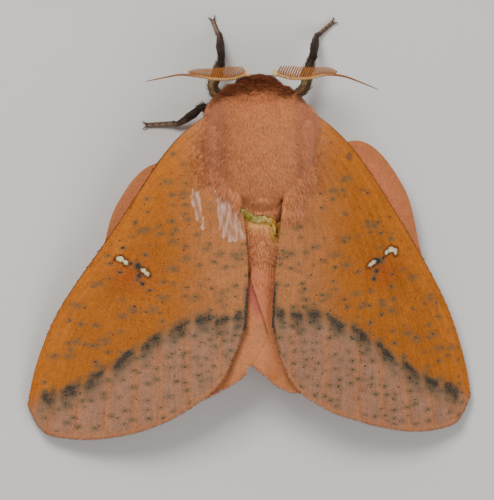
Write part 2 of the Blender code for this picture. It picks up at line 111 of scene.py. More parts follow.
def colour(values):
    """Colours with their fourth number, which is 1 for solid."""
    values = np.asarray(values, float)
    return np.concatenate([values, np.ones(values.shape[:-1] + (1,))], axis=-1)


# %% [markdown]
# ## Smooth lines and soft steps
# Veins, legs and feelers bend without corners. A Catmull-Rom line passes through every point
# that it is given, so the few points measured on the moth are enough. A soft step turns a
# distance into a mask that fades from 0 to 1.

# %% Line and mask helpers
SIDES = ((1, "left"), (-1, "right"))


def steps(count):
    """Evenly spaced numbers from 0 to 1."""
    return np.linspace(0.0, 1.0, count)


def smooth(points, t, before=None, after=None):
    """Places along a smooth line through evenly spaced points, t from 0 to 1."""
    line = np.asarray(points, float)
    before = 2 * line[0] - line[1] if before is None else np.asarray(before)
    after = 2 * line[-1] - line[-2] if after is None else np.asarray(after)
    line = np.concatenate([[before], line, [after]])
    place = np.clip(np.asarray(t, float), 0.0, 1.0) * (len(line) - 3)
    i = np.minimum(place.astype(int), len(line) - 4)
    f = (place - i)[..., None]
    a, b, c, d = line[i], line[i + 1], line[i + 2], line[i + 3]
    return 0.5 * (2 * b + (c - a) * f + (2 * a - 5 * b + 4 * c - d) * f ** 2
                  + (3 * b - a - 3 * c + d) * f ** 3)


def fade(value, start, end):
    """0 where value is at start, 1 where it is at end, soft between."""
    t = np.clip((value - start) / (end - start), 0.0, 1.0)
    return t * t * (3.0 - 2.0 * t)


def hill(points, middle, half):
    """1 at a middle place in plan, falling off over the two half widths."""
    u, v = ((points - np.array(middle)) / half).T
    return np.exp(-u ** 2 - v ** 2)


def unit(vectors):
    """The same vectors, one long."""
    return vectors / np.maximum(np.linalg.norm(vectors, axis=-1, keepdims=True), 1e-9)


def near(points, knots, count=0):
    """Each point's distance from a line: straight pieces, or smooth in that many steps."""
    line = smooth(knots, steps(count)) if count else np.asarray(knots, float)
    best = np.full(len(points), 1e9)
    for a, b in zip(line[:-1], line[1:]):
        along = np.clip(((points - a) @ (b - a)) / max((b - a) @ (b - a), 1e-9), 0.0, 1.0)
        best = np.minimum(best, np.linalg.norm(points - a - along[:, None] * (b - a), axis=1))
    return best


def ripple(points, size, phase=0.0):
    """A smooth seeded unevenness from -1 to 1 with waves of about that size."""
    p = np.asarray(points, float) / size
    waves = [(1.7, 0.9, 1.3), (-1.1, 1.9, 0.7), (0.6, -1.4, 1.8), (2.3, 1.2, -0.9), (-0.8, 2.6, 2.1)]
    total = np.zeros(len(p))
    for k, wave in enumerate(waves):
        wave = np.array(wave[:p.shape[1]])
        total += np.sin(p @ wave * 2.2 + phase + 1.9 * k + np.sin(p[:, 0] * 1.3 + k))
    return total / len(waves)


print("smooth line middle:", smooth([(0, 0), (1, 1), (2, 0)], np.array([0.5])))

# %% [markdown]
# ## Nodes by name
# A material is a graph of small boxes. Typing each link out is long, so a small class places a
# box, joins it and hands back its output. The graph it makes is the same that a person would
# draw in the shader editor.

# %% Node helpers
class Graph:
    """The nodes of one material or group, with short names for the usual ones."""

    def __init__(self, tree, shader=None):
        self.tree, self.shader = tree, shader

    def join(self, value, socket):
        """Links another node's output to a socket, or sets the socket's own value."""
        if isinstance(value, bpy.types.NodeSocket):
            self.tree.links.new(value, socket)
        else:
            socket.default_value = (*value, 1.0) if socket.type == "RGBA" else value

    def put(self, kind, inputs=None, **settings):
        """The outputs of a new node with these settings and inputs."""
        node = self.tree.nodes.new("ShaderNode" + kind)
        for key, value in settings.items():
            setattr(node, key, value)
        for key, value in (inputs or {}).items():
            self.join(value, node.inputs[key])
        return node.outputs

    def use(self, group, **inputs):
        """The outputs of a group placed here."""
        return self.put("Group", {key.replace("_", " "): value for key, value in inputs.items()},
                        node_tree=group.tree)

    def math(self, operation, a, b, clamp=False):
        return self.put("Math", {0: a, 1: b}, operation=operation, use_clamp=clamp)[0]

    def times(self, a, b, clamp=False):
        return self.math("MULTIPLY", a, b, clamp)

    def plus(self, a, b):
        return self.math("ADD", a, b)

    def swing(self, value, size, middle=0.5):
        """A value made to swing about 0."""
        return self.times(self.math("SUBTRACT", value, middle), size)

    def band(self, value, start, end, low=0.0, high=1.0):
        """A value moved from one range to another and kept inside it."""
        return self.put("MapRange", {"Value": value, "From Min": start, "From Max": end,
                                     "To Min": low, "To Max": high})[0]

    def mix(self, factor, a, b, way="MIX"):
        """Two colours mixed by a mask."""
        return self.put("Mix", {0: factor, 6: a, 7: b}, data_type="RGBA", blend_type=way)[2]

    def shaded(self, tint, level):
        """A colour made darker or lighter by a number."""
        grey = self.put("CombineColor", {0: level, 1: level, 2: level})[0]
        return self.mix(1.0, tint, grey, "MULTIPLY")

    def fact(self, name, output="Fac"):
        """What the points carry under that name."""
        return self.put("Attribute", attribute_name=name)[output]

    def vector(self, operation, a, b):
        return self.put("VectorMath", {0: a, 1: b}, operation=operation)[0]

    def noise(self, place, scale, detail):
        return self.put("TexNoise", {"Vector": place, "Scale": scale, "Detail": detail})["Fac"]

    def own_place(self):
        return self.put("TexCoord")["Object"]

    def finish(self, tint, roughness=None, relief=None, depth=0.0, strength=0.0):
        """Wires colour, roughness and relief to the shader. The depth is in millimetres."""
        self.join(tint, self.shader["Base Color"])
        if roughness is not None:
            self.join(roughness, self.shader["Roughness"])
        if relief is not None:
            bump = self.put("Bump", {"Height": relief, "Distance": depth * MM, "Strength": strength})
            self.join(bump[0], self.shader["Normal"])


def new_group(name, inputs, outputs):
    """An empty node group with named sockets, and its two ends. A word is a socket's kind."""
    tree = bpy.data.node_groups.new(name, "ShaderNodeTree")
    for in_out, sockets in (("INPUT", inputs), ("OUTPUT", outputs)):
        for label, value in sockets.items():
            kind = value if isinstance(value, str) else "Float"
            made = tree.interface.new_socket(label, in_out=in_out, socket_type="NodeSocket" + kind)
            if kind != value:
                made.default_value = value
    print("group:", name)
    return Graph(tree), tree.nodes.new("NodeGroupInput").outputs, tree.nodes.new("NodeGroupOutput").inputs


def new_material(name, roughness, **constants):
    """A material with one Principled shader, and its graph."""
    material = bpy.data.materials.new(name)
    material.use_nodes = True
    shader = material.node_tree.nodes["Principled BSDF"].inputs
    for key, value in {"Roughness": roughness, **constants}.items():
        shader[key.replace("_", " ")].default_value = value
    return material, Graph(material.node_tree, shader)


# %% [markdown]
# ## Scales, the dust of a moth's wing
# Up close a moth is covered with flat scales in rows, each a tenth of a millimetre. They could
# all be modelled, but most lie flat and only show as grain. A Voronoi pattern makes cells of
# their size: each cell gets its own shade and stands a little higher in its middle.

# %% Group: scale grain
grain_group, g_in, g_out = new_group(
    "Scale Grain", {"Place": "Vector", "Per Millimetre": 9.0, "Contrast": 0.2},
    {"Shade": "Float", "Height": "Float"})
g = grain_group
cells = g.put("TexVoronoi", {"Vector": g_in["Place"], "Scale": g_in["Per Millimetre"]})
own = g.put("SeparateColor", {0: cells["Color"]})[0]
mixed = g.plus(g.times(own, 0.6), g.times(g.noise(g_in["Place"], 1.3, 6.0), 0.8))
swing = g.swing(mixed, g_in["Contrast"], 0.7)
g.join(g.plus(g.times(swing, 2.0), 1.0), g_out["Shade"])
g.join(g.math("SUBTRACT", 1.0, cells["Distance"]), g_out["Height"])

# %% [markdown]
# ## Specks
# The wings are peppered with black dots of an eighth of a millimetre, many in a grey-green
# halo. One Voronoi cell holds at most one dot. Whether it has one depends on the cell's random
# colour against the amount wanted there, so the specks can be dense at the margin and rare at
# the front edge.

# %% Group: specks
speck_group, g_in, g_out = new_group(
    "Specks", {"Place": "Vector", "Per Millimetre": 1.0, "Amount": 0.5, "Dot Size": 1.0},
    {"Dot": "Float", "Halo": "Float"})
g = speck_group
wobble = g.put("TexNoise", {"Vector": g_in["Place"], "Scale": 6.0, "Detail": 4.0})["Color"]
moved = g.vector("ADD", g_in["Place"], g.vector("MULTIPLY", wobble, (0.3, 0.26, 0.0)))
cells = g.put("TexVoronoi", {"Vector": moved, "Scale": g_in["Per Millimetre"]}, voronoi_dimensions="2D")
luck = g.put("SeparateColor", {0: cells["Color"]})
there = g.math("LESS_THAN", luck[0], g_in["Amount"])
reach = g.times(g.band(luck[1], 0.0, 1.0, 0.04, 0.11), g_in["Dot Size"])
dot = g.math("LESS_THAN", cells["Distance"], reach)
halo = g.times(g.band(cells["Distance"], 0.5, 0.06), g.band(luck[2], 0.1, 0.7, 0.5, 1.0))
g.join(g.times(dot, there), g_out["Dot"])
g.join(g.times(halo, there), g_out["Halo"])

# %% [markdown]
# ## One hair's colour
# A tuft of fur is darker at its root, where its neighbours shade it, and paler at the tip, and
# no two tufts are quite alike. The group takes the animal's colour at the root, the way along
# the tuft and the tuft's own random number.

# %% Group: hair shade
hair_group, g_in, g_out = new_group(
    "Hair Shade", {"Tint": "Color", "Along": 1.0, "Chance": 0.5, "Spread": 0.3}, {"Color": "Color"})
g = hair_group
luck = g.swing(g_in["Chance"], g_in["Spread"])
level = g.times(g.band(g_in["Along"], 0.0, 0.8, 0.75, 1.15), g.plus(g.times(luck, 2.0), 1.0))
g.join(g.shaded(g_in["Tint"], level), g_out["Color"])


def hair_tint(graph, spread):
    """The group's colour, from what each tuft's points carry."""
    return graph.use(hair_group, Tint=graph.fact("Tint", "Color"), Along=graph.fact("Along"),
                     Chance=graph.fact("Chance"), Spread=spread)["Color"]


# %% [markdown]
# ## Colours of the summer moth
# The named colours below are light energies, not screen values. The body is salmon, the wings
# golden orange with a greyer pink outer third, and the head tuft a dark red brown.

# %% Palette
GOLD = (0.425, 0.118, 0.005)
DEEP_ORANGE = (0.37, 0.072, 0.003)
SALMON = (0.46, 0.162, 0.047)
OUTER_SALMON = (0.45, 0.172, 0.07)
ROSE_GREY = (0.315, 0.158, 0.095)
FROST = (0.58, 0.33, 0.24)
ROSE = (0.62, 0.185, 0.078)
PLUSH = (0.97, 0.40, 0.165)
PINK_SIDE = (0.86, 0.35, 0.175)
RUST = (0.60, 0.20, 0.07)
TUFT_BROWN = (0.21, 0.056, 0.019)
PALE_HAIR = (0.80, 0.50, 0.30)
# colour of the dark line and of the painted shade along the forewing's inner margin
LINE_AND_SHADE_GREEN = (0.036, 0.037, 0.03)
HALO_GREEN = (0.12, 0.102, 0.052)
FOLD_RED = (0.50, 0.10, 0.085)
PEACH = (0.60, 0.22, 0.085)
SPOT_WHITE = (0.80, 0.72, 0.42)
LEG_BROWN = (0.038, 0.016, 0.01)
LEG_GREY = (0.27, 0.175, 0.12)
LEG_STRAW = (0.28, 0.185, 0.08)
CREAM = (0.78, 0.52, 0.24)
RAMI_ORANGE = (0.42, 0.135, 0.014)
THREAD_BROWN = (0.30, 0.105, 0.028)
STAIN_YELLOW = (0.62, 0.36, 0.05)
EDGE_BROWN = (0.13, 0.045, 0.015)
NICK_BROWN = (0.17, 0.07, 0.035)
DOT_BLACK = (0.022, 0.018, 0.012)
RING_BLACK = (0.028, 0.014, 0.008)
FILM_BROWN = (0.44, 0.185, 0.10)
FILM_PALE = (0.70, 0.44, 0.34)


def mix(a, b, share):
    """Colour a turning into colour b, for an array of shares."""
    share = np.asarray(share)[:, None]
    return np.asarray(a) * (1.0 - share) + np.asarray(b) * share


# %% [markdown]
# ## The wing's skeleton
# A forewing is a sheet held by veins that fan out from its root. Five measured points give its
# front edge, nine its outer margin, and each vein runs from the root over one place at the end
# of the cell to its share of the margin. The heights lie on one roof that both wings share.

# %% Wing plan
ROOF_TOP = 7.25
ROOF_SLOPE = 0.343
ROOF_FALL_BACK = 0.047
ROOF_CREST_Y = 1.5
ROOF_DIP = 0.012
HINDWING_BELOW = 0.85
VEIN_BOW = 0.22
VEIN_RISE = 0.05
SHEET = 0.13
FOREWING = {
    "swell": (0.8, -0.8), "camber": 0.45, "drop": 0.0, "sink": 0.0, "shift": (0.0, 0.0),
    "veins": [(0.08, (11.6, 1.3), 0.06), (0.18, (11.0, 2.1), 0.155), (0.27, (10.5, 2.75), 0.237),
              (0.36, (9.95, 3.25), 0.33), (0.45, (9.35, 3.65), 0.43), (0.55, (8.6, 3.9), 0.527),
              (0.66, (6.4, 3.3), 0.64), (0.85, (3.3, 2.2), 0.79)]}
FOREWING_SIDES = {
    1: {"costa": [(3.2, -9.5), (7.0, -6.4), (11.6, 0.3), (16.1, 7.1), (18.15, 13.3)],
        "inner": [(2.4, -6.5), (1.8, -2.6), (1.4, 1.2), (1.3, 4.7), (1.5, 8.0)],
        "margin": [(18.15, 13.3), (17.45, 15.9), (14.5, 16.8), (11.4, 16.6), (8.7, 15.9),
                   (6.35, 14.75), (4.25, 13.2), (2.3, 10.85), (1.5, 8.0)]},
    -1: {"costa": [(3.8, -9.6), (7.7, -6.3), (12.1, 0.1), (16.05, 7.0), (17.85, 13.2)],
         "inner": [(2.4, -6.5), (1.8, -2.6), (1.3, 1.2), (0.85, 4.7), (0.6, 8.0)],
         "margin": [(17.85, 13.2), (17.1, 15.75), (14.3, 16.7), (11.4, 16.6), (8.5, 15.95),
                    (5.4, 14.9), (2.8, 13.2), (1.25, 10.85), (0.6, 8.0)], "shift": (31.0, 17.0)}}
HINDWING = {
    "swell": (0.4, -0.4), "camber": 0.0, "drop": HINDWING_BELOW, "sink": 0.0, "shift": (0.0, 0.0),
    "veins": [(0.1, (10.6, 1.0), 0.1), (0.25, (9.6, 2.3), 0.24), (0.4, (8.6, 3.1), 0.38),
              (0.52, (7.6, 3.8), 0.52), (0.65, (5.8, 4.2), 0.66), (0.82, (3.9, 4.6), 0.83)]}
HINDWING_SIDES = {
    1: {"costa": [(3.2, -4.6), (8.2, -5.0), (11.15, -1.7), (12.5, 2.6), (14.6, 6.6)],
        "inner": [(2.8, -1.6), (2.0, 1.6), (1.0, 4.2), (0.25, 6.6), (-0.45, 8.9)],
        "margin": [(14.6, 6.6), (14.3, 9.4), (12.7, 11.9), (10.0, 13.4), (7.0, 14.0),
                   (4.0, 13.5), (1.2, 11.5), (-0.45, 8.9)], "red": 1.0},
    -1: {"costa": [(3.2, -4.8), (8.9, -6.55), (12.45, -2.9), (13.75, 1.76), (14.6, 6.6)],
         "inner": [(2.8, -1.6), (0.9, 0.8), (-0.75, 3.3), (-0.9, 6.8), (-1.04, 10.95)],
         "margin": [(14.6, 6.6), (14.3, 9.4), (12.7, 11.9), (10.0, 13.4), (7.0, 14.0),
                    (3.7, 12.95), (1.5, 13.05), (-1.04, 10.95)],
         "red": 0.0, "drop": HINDWING_BELOW + 0.05, "sink": 0.45}}
forewing_plans = {side: {**FOREWING, **own} for side, own in FOREWING_SIDES.items()}
hindwing_plans = {side: {**HINDWING, **own} for side, own in HINDWING_SIDES.items()}


def roof(x, y):
    """Height of the forewings' upper side over the floor, before their camber."""
    dip = ROOF_DIP * np.maximum(0.0, ROOF_CREST_Y - y) ** 2
    return ROOF_TOP - ROOF_SLOPE * (np.abs(x) - 1.0) - ROOF_FALL_BACK * (y - ROOF_CREST_Y) - dip


def vein_line(plan, vein):
    """Evenly spaced points along one vein, from the wing's root to its margin."""
    share, cell, margin_share = vein
    first, last = np.array(plan["costa"][0]), np.array(plan["inner"][0])
    root = first + (last - first) * share
    cell = np.array(cell)
    end = smooth(plan["margin"], margin_share)
    close = (root + cell) / 2 + np.array(plan["swell"]) * (1.0 - share)
    far = (cell + end) / 2 + (VEIN_BOW * (end[0] - cell[0]), 0.0)
    return [root, close, cell, far, end]


def wing_lines(plan):
    """Front edge, veins and inner edge, in their order across the wing."""
    return [plan["costa"]] + [vein_line(plan, vein) for vein in plan["veins"]] + [plan["inner"]]


print("lines of a wing:", len(wing_lines(forewing_plans[1])), len(wing_lines(hindwing_plans[1])))

# %% [markdown]
# ## Where the markings lie
# Every marking is a rule of the place on the wing. The dark line is a row of slanted smudges,
# one between each two veins. The two white spots are stored as a distance from their outline,
# because a distance stays exact between points and gives a crisp edge at any size.

# %% Forewing markings
DARK_LINE = {
    1: [(18.2, 13.3), (16.75, 13.3), (15.1, 12.9), (13.2, 11.95), (11.0, 10.5), (8.8, 9.1),
        (6.65, 8.0), (4.75, 7.35), (3.4, 7.6), (2.1, 7.3), (1.3, 7.1)],
    -1: [(17.8, 13.6), (16.2, 13.4), (14.4, 12.8), (12.6, 11.85), (10.4, 10.4), (8.25, 8.9),
         (6.15, 7.9), (4.2, 7.15), (2.7, 7.35), (1.25, 7.0), (0.4, 6.9)]}
WHITE_SPOTS = {1: [((11.1, 2.5), (0.3, 0.19), -0.3), ((10.72, 2.78), (0.2, 0.15), -0.9),
                   ((9.36, 3.48), (0.23, 0.15), -0.6), ((9.1, 3.72), (0.22, 0.14), -0.7)],
               -1: [((10.62, 2.42), (0.2, 0.15), -0.6), ((11.02, 2.2), (0.3, 0.19), -0.2),
                    ((11.4, 2.36), (0.17, 0.24), 0.2), ((9.42, 3.2), (0.22, 0.15), -0.6),
                    ((9.16, 3.4), (0.19, 0.11), -0.3)]}
SOOT_MARKS = [((9.8, 3.1), 0.3), ((9.45, 4.55), 0.2), ((9.7, 3.9), 0.22), ((10.3, 2.9), 0.16)]
NICKS = {1: [((9.9, -0.2), (0.06, 0.3))],
         -1: [((7.6, -5.3), (0.3, 0.4)), ((8.6, -2.6), (0.34, 0.15)), ((7.0, -2.1), (0.12, 0.2)),
              ((14.5, 5.9), (0.45, 0.07)), ((15.0, 6.9), (0.07, 0.4)), ((14.3, 7.2), (0.2, 0.06))]}
GREEN_MARKS = [(9.5, 0.3), (9.1, 0.25), (7.0, 1.25), (6.1, 2.6), (7.1, 3.4), (4.5, 1.85), (3.5, 2.3),
               (2.3, 2.4), (1.7, 2.3), (3.4, 6.0), (3.3, 5.4), (5.4, 5.8), (7.9, 5.7), (14.6, 9.1),
               (16.3, 10.2), (15.1, 10.2), (13.1, 9.4), (12.4, 9.0), (12.9, 4.5), (11.0, 7.1),
               (10.2, 6.6), (8.6, 6.6), (14.4, 6.2), (4.6, -5.5), (6.2, -2.6), (7.4, -3.6)]
GREEN_HALF = (0.46, 0.26)
WORN_STREAKS = [
    [(-2.8, 5.7, 5.0), (-2.2, 5.65, 4.75), (-1.0, 5.36, 4.8), (0.1, 4.85, 4.55), (0.4, 4.7, 4.6)],
    [(-2.8, 3.75, 2.4), (-0.75, 3.6, 1.9), (0.5, 3.45, 1.6), (0.85, 3.3, 1.45), (1.35, 2.7, 1.4)]]


def line_height(x, side):
    """Where the dark line runs, as y for each x."""
    places = np.array(DARK_LINE[side])[::-1]
    return np.interp(x, places[:, 0], places[:, 1])


def spot_distance(points, side):
    """Distance from the nearest white spot's outline, negative inside."""
    best = np.full(len(points), 9.0)
    for middle, half, turn in WHITE_SPOTS[side]:
        d = points - np.array(middle)
        u = d[:, 0] * math.cos(turn) + d[:, 1] * math.sin(turn)
        v = -d[:, 0] * math.sin(turn) + d[:, 1] * math.cos(turn) - 0.45 * u ** 2
        best = np.minimum(best, (np.hypot(u / half[0], v / half[1]) - 1.0) * min(half))
    return best


def smudge(points, side):
    """How dark the line is, from 0 to 1: a short core and a cloud that trails behind it."""
    total = np.zeros(len(points))
    line = DARK_LINE[side]
    for before, middle, after in zip(line, line[1:], line[2:]):
        wide = 0.5 * (before[0] - after[0]) / 2
        rise = line_height(middle[0] + 0.5, side) - line_height(middle[0] - 0.5, side)
        d = points - np.array(middle)
        u = d[:, 0] + 0.1 * ripple(points, 0.6, 2.0)
        v = d[:, 1] - d[:, 0] * math.tan(math.atan(rise) + 0.12)
        v = v + 0.2 * ripple(points, 0.5) + 0.16 * ripple(points, 1.3)
        tall = 0.74 + 0.42 * fade(middle[0], 14.0, 16.4)
        core = 0.9 * np.exp(-(v / np.where(v < 0, 0.48, tall)) ** 2)
        cloud = 0.66 * fade(v, -0.2, 0.3) * fade(v, 2.0, 0.4)
        total = np.maximum(total, np.exp(-(1.05 * u / wide) ** 4) * np.maximum(core, cloud))
    total = total * (0.92 + 0.24 * ripple(points, 0.8, 1.5))
    for middle, radius in SOOT_MARKS:
        total = np.maximum(total, 1.1 * hill(points, middle, radius))
    return total


def worn_patch(points, side):
    """Where the left wing has lost its scales: two streaks with a ragged lower end."""
    worn = np.zeros(len(points))
    x = points[:, 0] + 0.1 * ripple(points, 0.5)
    y = points[:, 1] + 0.3 * ripple(points, 0.35, 2.0)
    for streak in WORN_STREAKS if side > 0 else []:
        heights, left, right = np.array(streak).T
        inside = np.minimum(np.interp(y, heights, left) - x, x - np.interp(y, heights, right))
        inside = np.minimum(inside, np.minimum(y - heights[0], heights[-1] - y))
        worn = np.maximum(worn, fade(inside, -0.12, 0.12))
    return worn


def vein_distance(points, plan):
    """Each place's distance from the nearest vein."""
    return np.min([near(points, vein_line(plan, vein), 30) for vein in plan["veins"]], axis=0)


def forewing_facts(points, side):
    """What the forewing's material needs to know at each place of its plan."""
    x, y = points.T
    plan = forewing_plans[side]
    costa, margin = near(points, plan["costa"], 60), near(points, plan["margin"], 90)
    outer = fade(y - line_height(x, side), -0.5, 1.0)
    inner = fade(x + 0.6 * ripple(points, 2.0), 8.2, 2.5)
    inner = np.maximum(inner, fade(y, -2.0, -6.0) * fade(x, 7.0, 4.5))
    ground = mix(GOLD, SALMON, inner)
    ground = mix(ground, DEEP_ORANGE, 0.8 * hill(points, (10.3, 3.9), (1.5, 1.3)))
    ground = mix(ground, OUTER_SALMON, 0.95 * outer * fade(costa, 0.1, 1.4))
    streak = np.exp(-(vein_distance(points, plan) / 0.33) ** 2)
    patchy = 0.5 + 0.5 * ripple(points, 1.7, 1.0)
    grey = outer * (1.0 - 0.75 * streak) * (0.55 + 0.45 * patchy) * fade(margin, -0.2, 0.7)
    ground = mix(ground, ROSE_GREY, grey)
    rusty = fade(y, -0.5, -3.0) * fade(x, 6.5, 4.5) * fade(ripple(points, 0.7, 4.0), 0.1, 0.6)
    ground = mix(ground, RUST, 0.45 * rusty)
    ground = ground * (1.0 + 0.07 * ripple(points, 3.0) + 0.06 * ripple(points, 0.6))[:, None]
    ground = ground * (1.0 + 0.2 * fade(costa, 2.4, 0.7) * (1.0 - outer))[:, None]
    for middle, half in NICKS[side]:
        inside = 1.0 - np.hypot(*((points - middle) / half).T) + 0.25 * ripple(points, 0.3)
        ground = mix(ground, NICK_BROWN, 0.8 * fade(inside, -0.1, 0.25))
    mark = np.max([hill(points, middle, GREEN_HALF) for middle in GREEN_MARKS], axis=0)
    inside = near(points, np.concatenate([smooth(plan["inner"], steps(30)),
                                          smooth(plan["margin"], np.linspace(1, 0.8, 12))]))
    # painted shade: a dark band along the inner margin and the inner end of the outer margin, standing in
    # for the shadow at the wing's edge; it is stored in one mask with the dark line
    shade = np.exp(-(inside / 0.26) ** 2) * fade(y, 3.5, 5.8) * fade(y, 12.0, 9.0)
    dark = np.maximum(smudge(points, side), 0.95 * shade)
    amount = 0.36 + 0.34 * outer + 0.2 * fade(x, 7.0, 2.0) - 0.15 * fade(y, 0.0, -5.0) + 0.4 * dark
    amount = amount * fade(costa, 0.1, 1.0) * fade(margin, 0.1, 0.4) + 0.6 * mark
    return {"Ground": colour(ground), "Smudge": dark, "Spot": spot_distance(points, side),
            "Mark": mark, "Amount": amount, "Costa": costa + 0.1 * fade(y, 3.0, 9.0),
            "Worn": worn_patch(points, side), "Frost": np.maximum(0.55 * inner, grey)}


# %% [markdown]
# ## The wing sheet
# A wing could be a flat plane with thickness. Real wings are cambered and pleated: each vein
# stands up as a ridge and the skin between sags a little. The sheet is a grid that follows the
# veins, its upper side lifted by those rules, and its lower side a hair's breadth beneath.

# %% Wing surface
RIM_ANGLE = math.radians(50.0)


def wing_place(plan, share, v):
    """Plan places for each share across the wing and each v from root to margin."""
    rows = []
    lines = wing_lines(plan)
    for row in v:
        knots = np.array([smooth(lines[0], row, after=plan["margin"][1])]
                         + [smooth(line, row) for line in lines[1:]])
        level = 2 * knots[0] - knots[1]
        onward = unit(np.array(plan["margin"][1]) - plan["costa"][-2])
        bent = knots[1] - 2 * onward * np.linalg.norm(knots[1] - knots[0])
        rows.append(smooth(knots, share, before=level + (bent - level) * row ** 8))
    return np.array(rows)


def wing_height(points, share, v, plan):
    """Height of the wing's upper side."""
    x, y = points.T
    arch = plan["camber"] * np.minimum(1.0, 3.0 * v) * np.sin(math.pi * share)
    vein = vein_distance(points, plan)
    ridge = VEIN_RISE * np.exp(-(vein / 0.2) ** 2) - 0.04 * (1.0 - np.exp(-(vein / 0.7) ** 2))
    sink = plan["sink"] * fade(y, 4.6, 2.4) * fade(x, 3.4, 1.4)
    return roof(x, y) - plan["drop"] - sink + arch + ridge + 0.035 * ripple(points, 1.6)


def sheet_faces(rows, columns):
    """Faces of a closed thin sheet: a grid of upper points, then as many lower ones."""
    grid = np.arange(rows * columns).reshape(rows, columns)
    quads = np.stack([grid[:-1, :-1], grid[:-1, 1:], grid[1:, 1:], grid[1:, :-1]], -1).reshape(-1, 4)
    rim = np.concatenate([grid[0, :-1], grid[:-1, -1], grid[-1, :0:-1], grid[:0:-1, 0]])
    after, below = np.roll(rim, -1), grid.size
    walls = np.stack([after, rim, rim + below, after + below], -1)
    return np.concatenate([quads, quads[:, ::-1] + below, walls])


def upright(side, place, height):
    """Places in a wing's plan, set up on the moth's left (1) or right (-1)."""
    return np.column_stack([side * place[:, 0], place[:, 1], height])


def in_plan(place, shift=(0.0, 0.0)):
    """Places in plan as vectors for a texture."""
    return np.column_stack([place + shift, np.zeros(len(place))])


def make_wing(kind, label, side, plan, grid, material, facts_of):
    """One wing as a closed thin sheet on a grid that follows its veins. Also gives that grid."""
    across, along = grid
    fan = np.stack(np.meshgrid(steps(across), steps(along)), -1).reshape(-1, 2)
    place = wing_place(plan, steps(across), steps(along)).reshape(-1, 2)
    top = wing_height(place, *fan.T, plan)
    low = top - SHEET * (1.0 - 0.6 * fade(fan[:, 1], 0.9, 1.0))
    faces = sheet_faces(along, across)
    place, fan = np.tile(place, (2, 1)), np.tile(fan, (2, 1))
    name = kind + "_" + label
    piece = make_piece(name + "_sheet", upright(side, place, np.concatenate([top, low])),
                       faces if side < 0 else faces[:, ::-1], material, [name])
    store(piece, {**facts_of(place), "Plan": in_plan(place, plan["shift"])})
    piece.data.set_sharp_from_angle(angle=RIM_ANGLE)
    return piece, np.column_stack([fan, np.full(len(fan), side)])


# %% [markdown]
# ## Forewing finish
# The material reads the stored facts in the order in which a painter would work: ground colour,
# grain, halos, dark line with the painted shade along the inner margin, dots, spots, worn skin.
# Only the bare patch is smooth and shiny, because there the scales are gone.

# %% Forewing material
forewing_mat, g = new_material("forewing_scales", 0.68, Specular_IOR_Level=0.2)
plan_place = g.fact("Plan", "Vector")
powder, fine = g.noise(plan_place, 7.0, 5.0), g.noise(plan_place, 13.0, 3.0)
grain = g.use(grain_group, Place=plan_place, Per_Millimetre=9.0, Contrast=0.22)
painted = g.shaded(g.fact("Ground", "Color"), grain["Shade"])
brushed = g.noise(g.vector("MULTIPLY", g.fact("Fan", "Vector"), (90.0, 9.0, 0.0)), 1.0, 4.0)
painted = g.shaded(painted, g.band(brushed, 0.3, 0.7, 0.88, 1.12))

# pale scales strewn over the salmon parts, and each loose scale's own luck
frost, chance = g.fact("Frost"), g.fact("Chance")
pale = g.times(g.band(powder, 0.46, 0.7), g.band(frost, 0.0, 1.0, 0.1, 0.4))
painted = g.shaded(g.mix(pale, painted, FROST), g.band(chance, 0.0, 1.0, 0.82, 1.18))
rare = g.times(g.math("GREATER_THAN", chance, 0.86), g.band(frost, 0.0, 1.0, 0.25, 0.45))
painted = g.mix(rare, painted, FROST)

# green halos, black dots, the dark line and the painted shade along the inner margin
amount = g.fact("Amount")
specks = g.use(speck_group, Place=g.vector("MULTIPLY", plan_place, (1.0, 1.55, 1.0)),
               Per_Millimetre=1.0, Amount=amount, Dot_Size=0.7)
cloud = g.math("MAXIMUM", specks["Halo"], g.times(g.fact("Mark"), 0.9))
pricks = g.use(speck_group, Place=g.vector("ADD", plan_place, (5.3, 2.9, 0.0)), Per_Millimetre=2.4,
               Amount=g.plus(g.times(amount, 0.2), g.times(cloud, 0.9)), Dot_Size=1.1)
painted = g.mix(g.times(cloud, g.band(fine, 0.36, 0.6, 0.3, 1.15), clamp=True), painted, HALO_GREEN)
blotch = g.times(g.band(fine, 0.34, 0.62, 0.9, 1.05), g.band(powder, 0.36, 0.6, 0.74, 1.1))
# this mask holds the real dark line and the painted shade along the inner margin
line_and_shade = g.times(g.fact("Smudge"), blotch, clamp=True)
line_and_shade_tint = g.mix(g.band(line_and_shade, 0.25, 0.75), HALO_GREEN, LINE_AND_SHADE_GREEN)
painted = g.mix(g.band(line_and_shade, 0.0, 0.8), painted, line_and_shade_tint)
painted = g.mix(g.math("MAXIMUM", specks["Dot"], pricks["Dot"]), painted, DOT_BLACK)

# white spots with their broken black outline, and the brown front edge
spot = g.plus(g.fact("Spot"), g.swing(fine, 0.34))
ring = g.times(g.band(spot, 0.26, 0.1), g.band(powder, 0.42, 0.56, 0.25, 1.0))
painted = g.mix(ring, painted, RING_BLACK)
painted = g.mix(g.band(spot, 0.03, -0.02), painted, SPOT_WHITE)
edge = g.band(g.fact("Costa"), 0.1, 0.04)
painted = g.mix(g.times(edge, 0.75), painted, EDGE_BROWN)

# bare skin
torn = g.noise(g.vector("MULTIPLY", plan_place, (3.0, 0.8, 1.0)), 1.3, 6.0)
bare = g.band(g.plus(g.fact("Worn"), g.swing(torn, 2.2)), 0.55, 0.85)
film = g.mix(g.band(torn, 0.42, 0.64), FILM_BROWN, FILM_PALE)
g.finish(g.mix(g.times(bare, 0.85), painted, film), g.band(bare, 0.0, 1.0, 0.68, 0.25),
         g.times(grain["Height"], g.band(bare, 0.0, 1.0, 1.0, 0.15)), 0.03, 0.8)
print("forewing nodes:", len(g.tree.nodes))

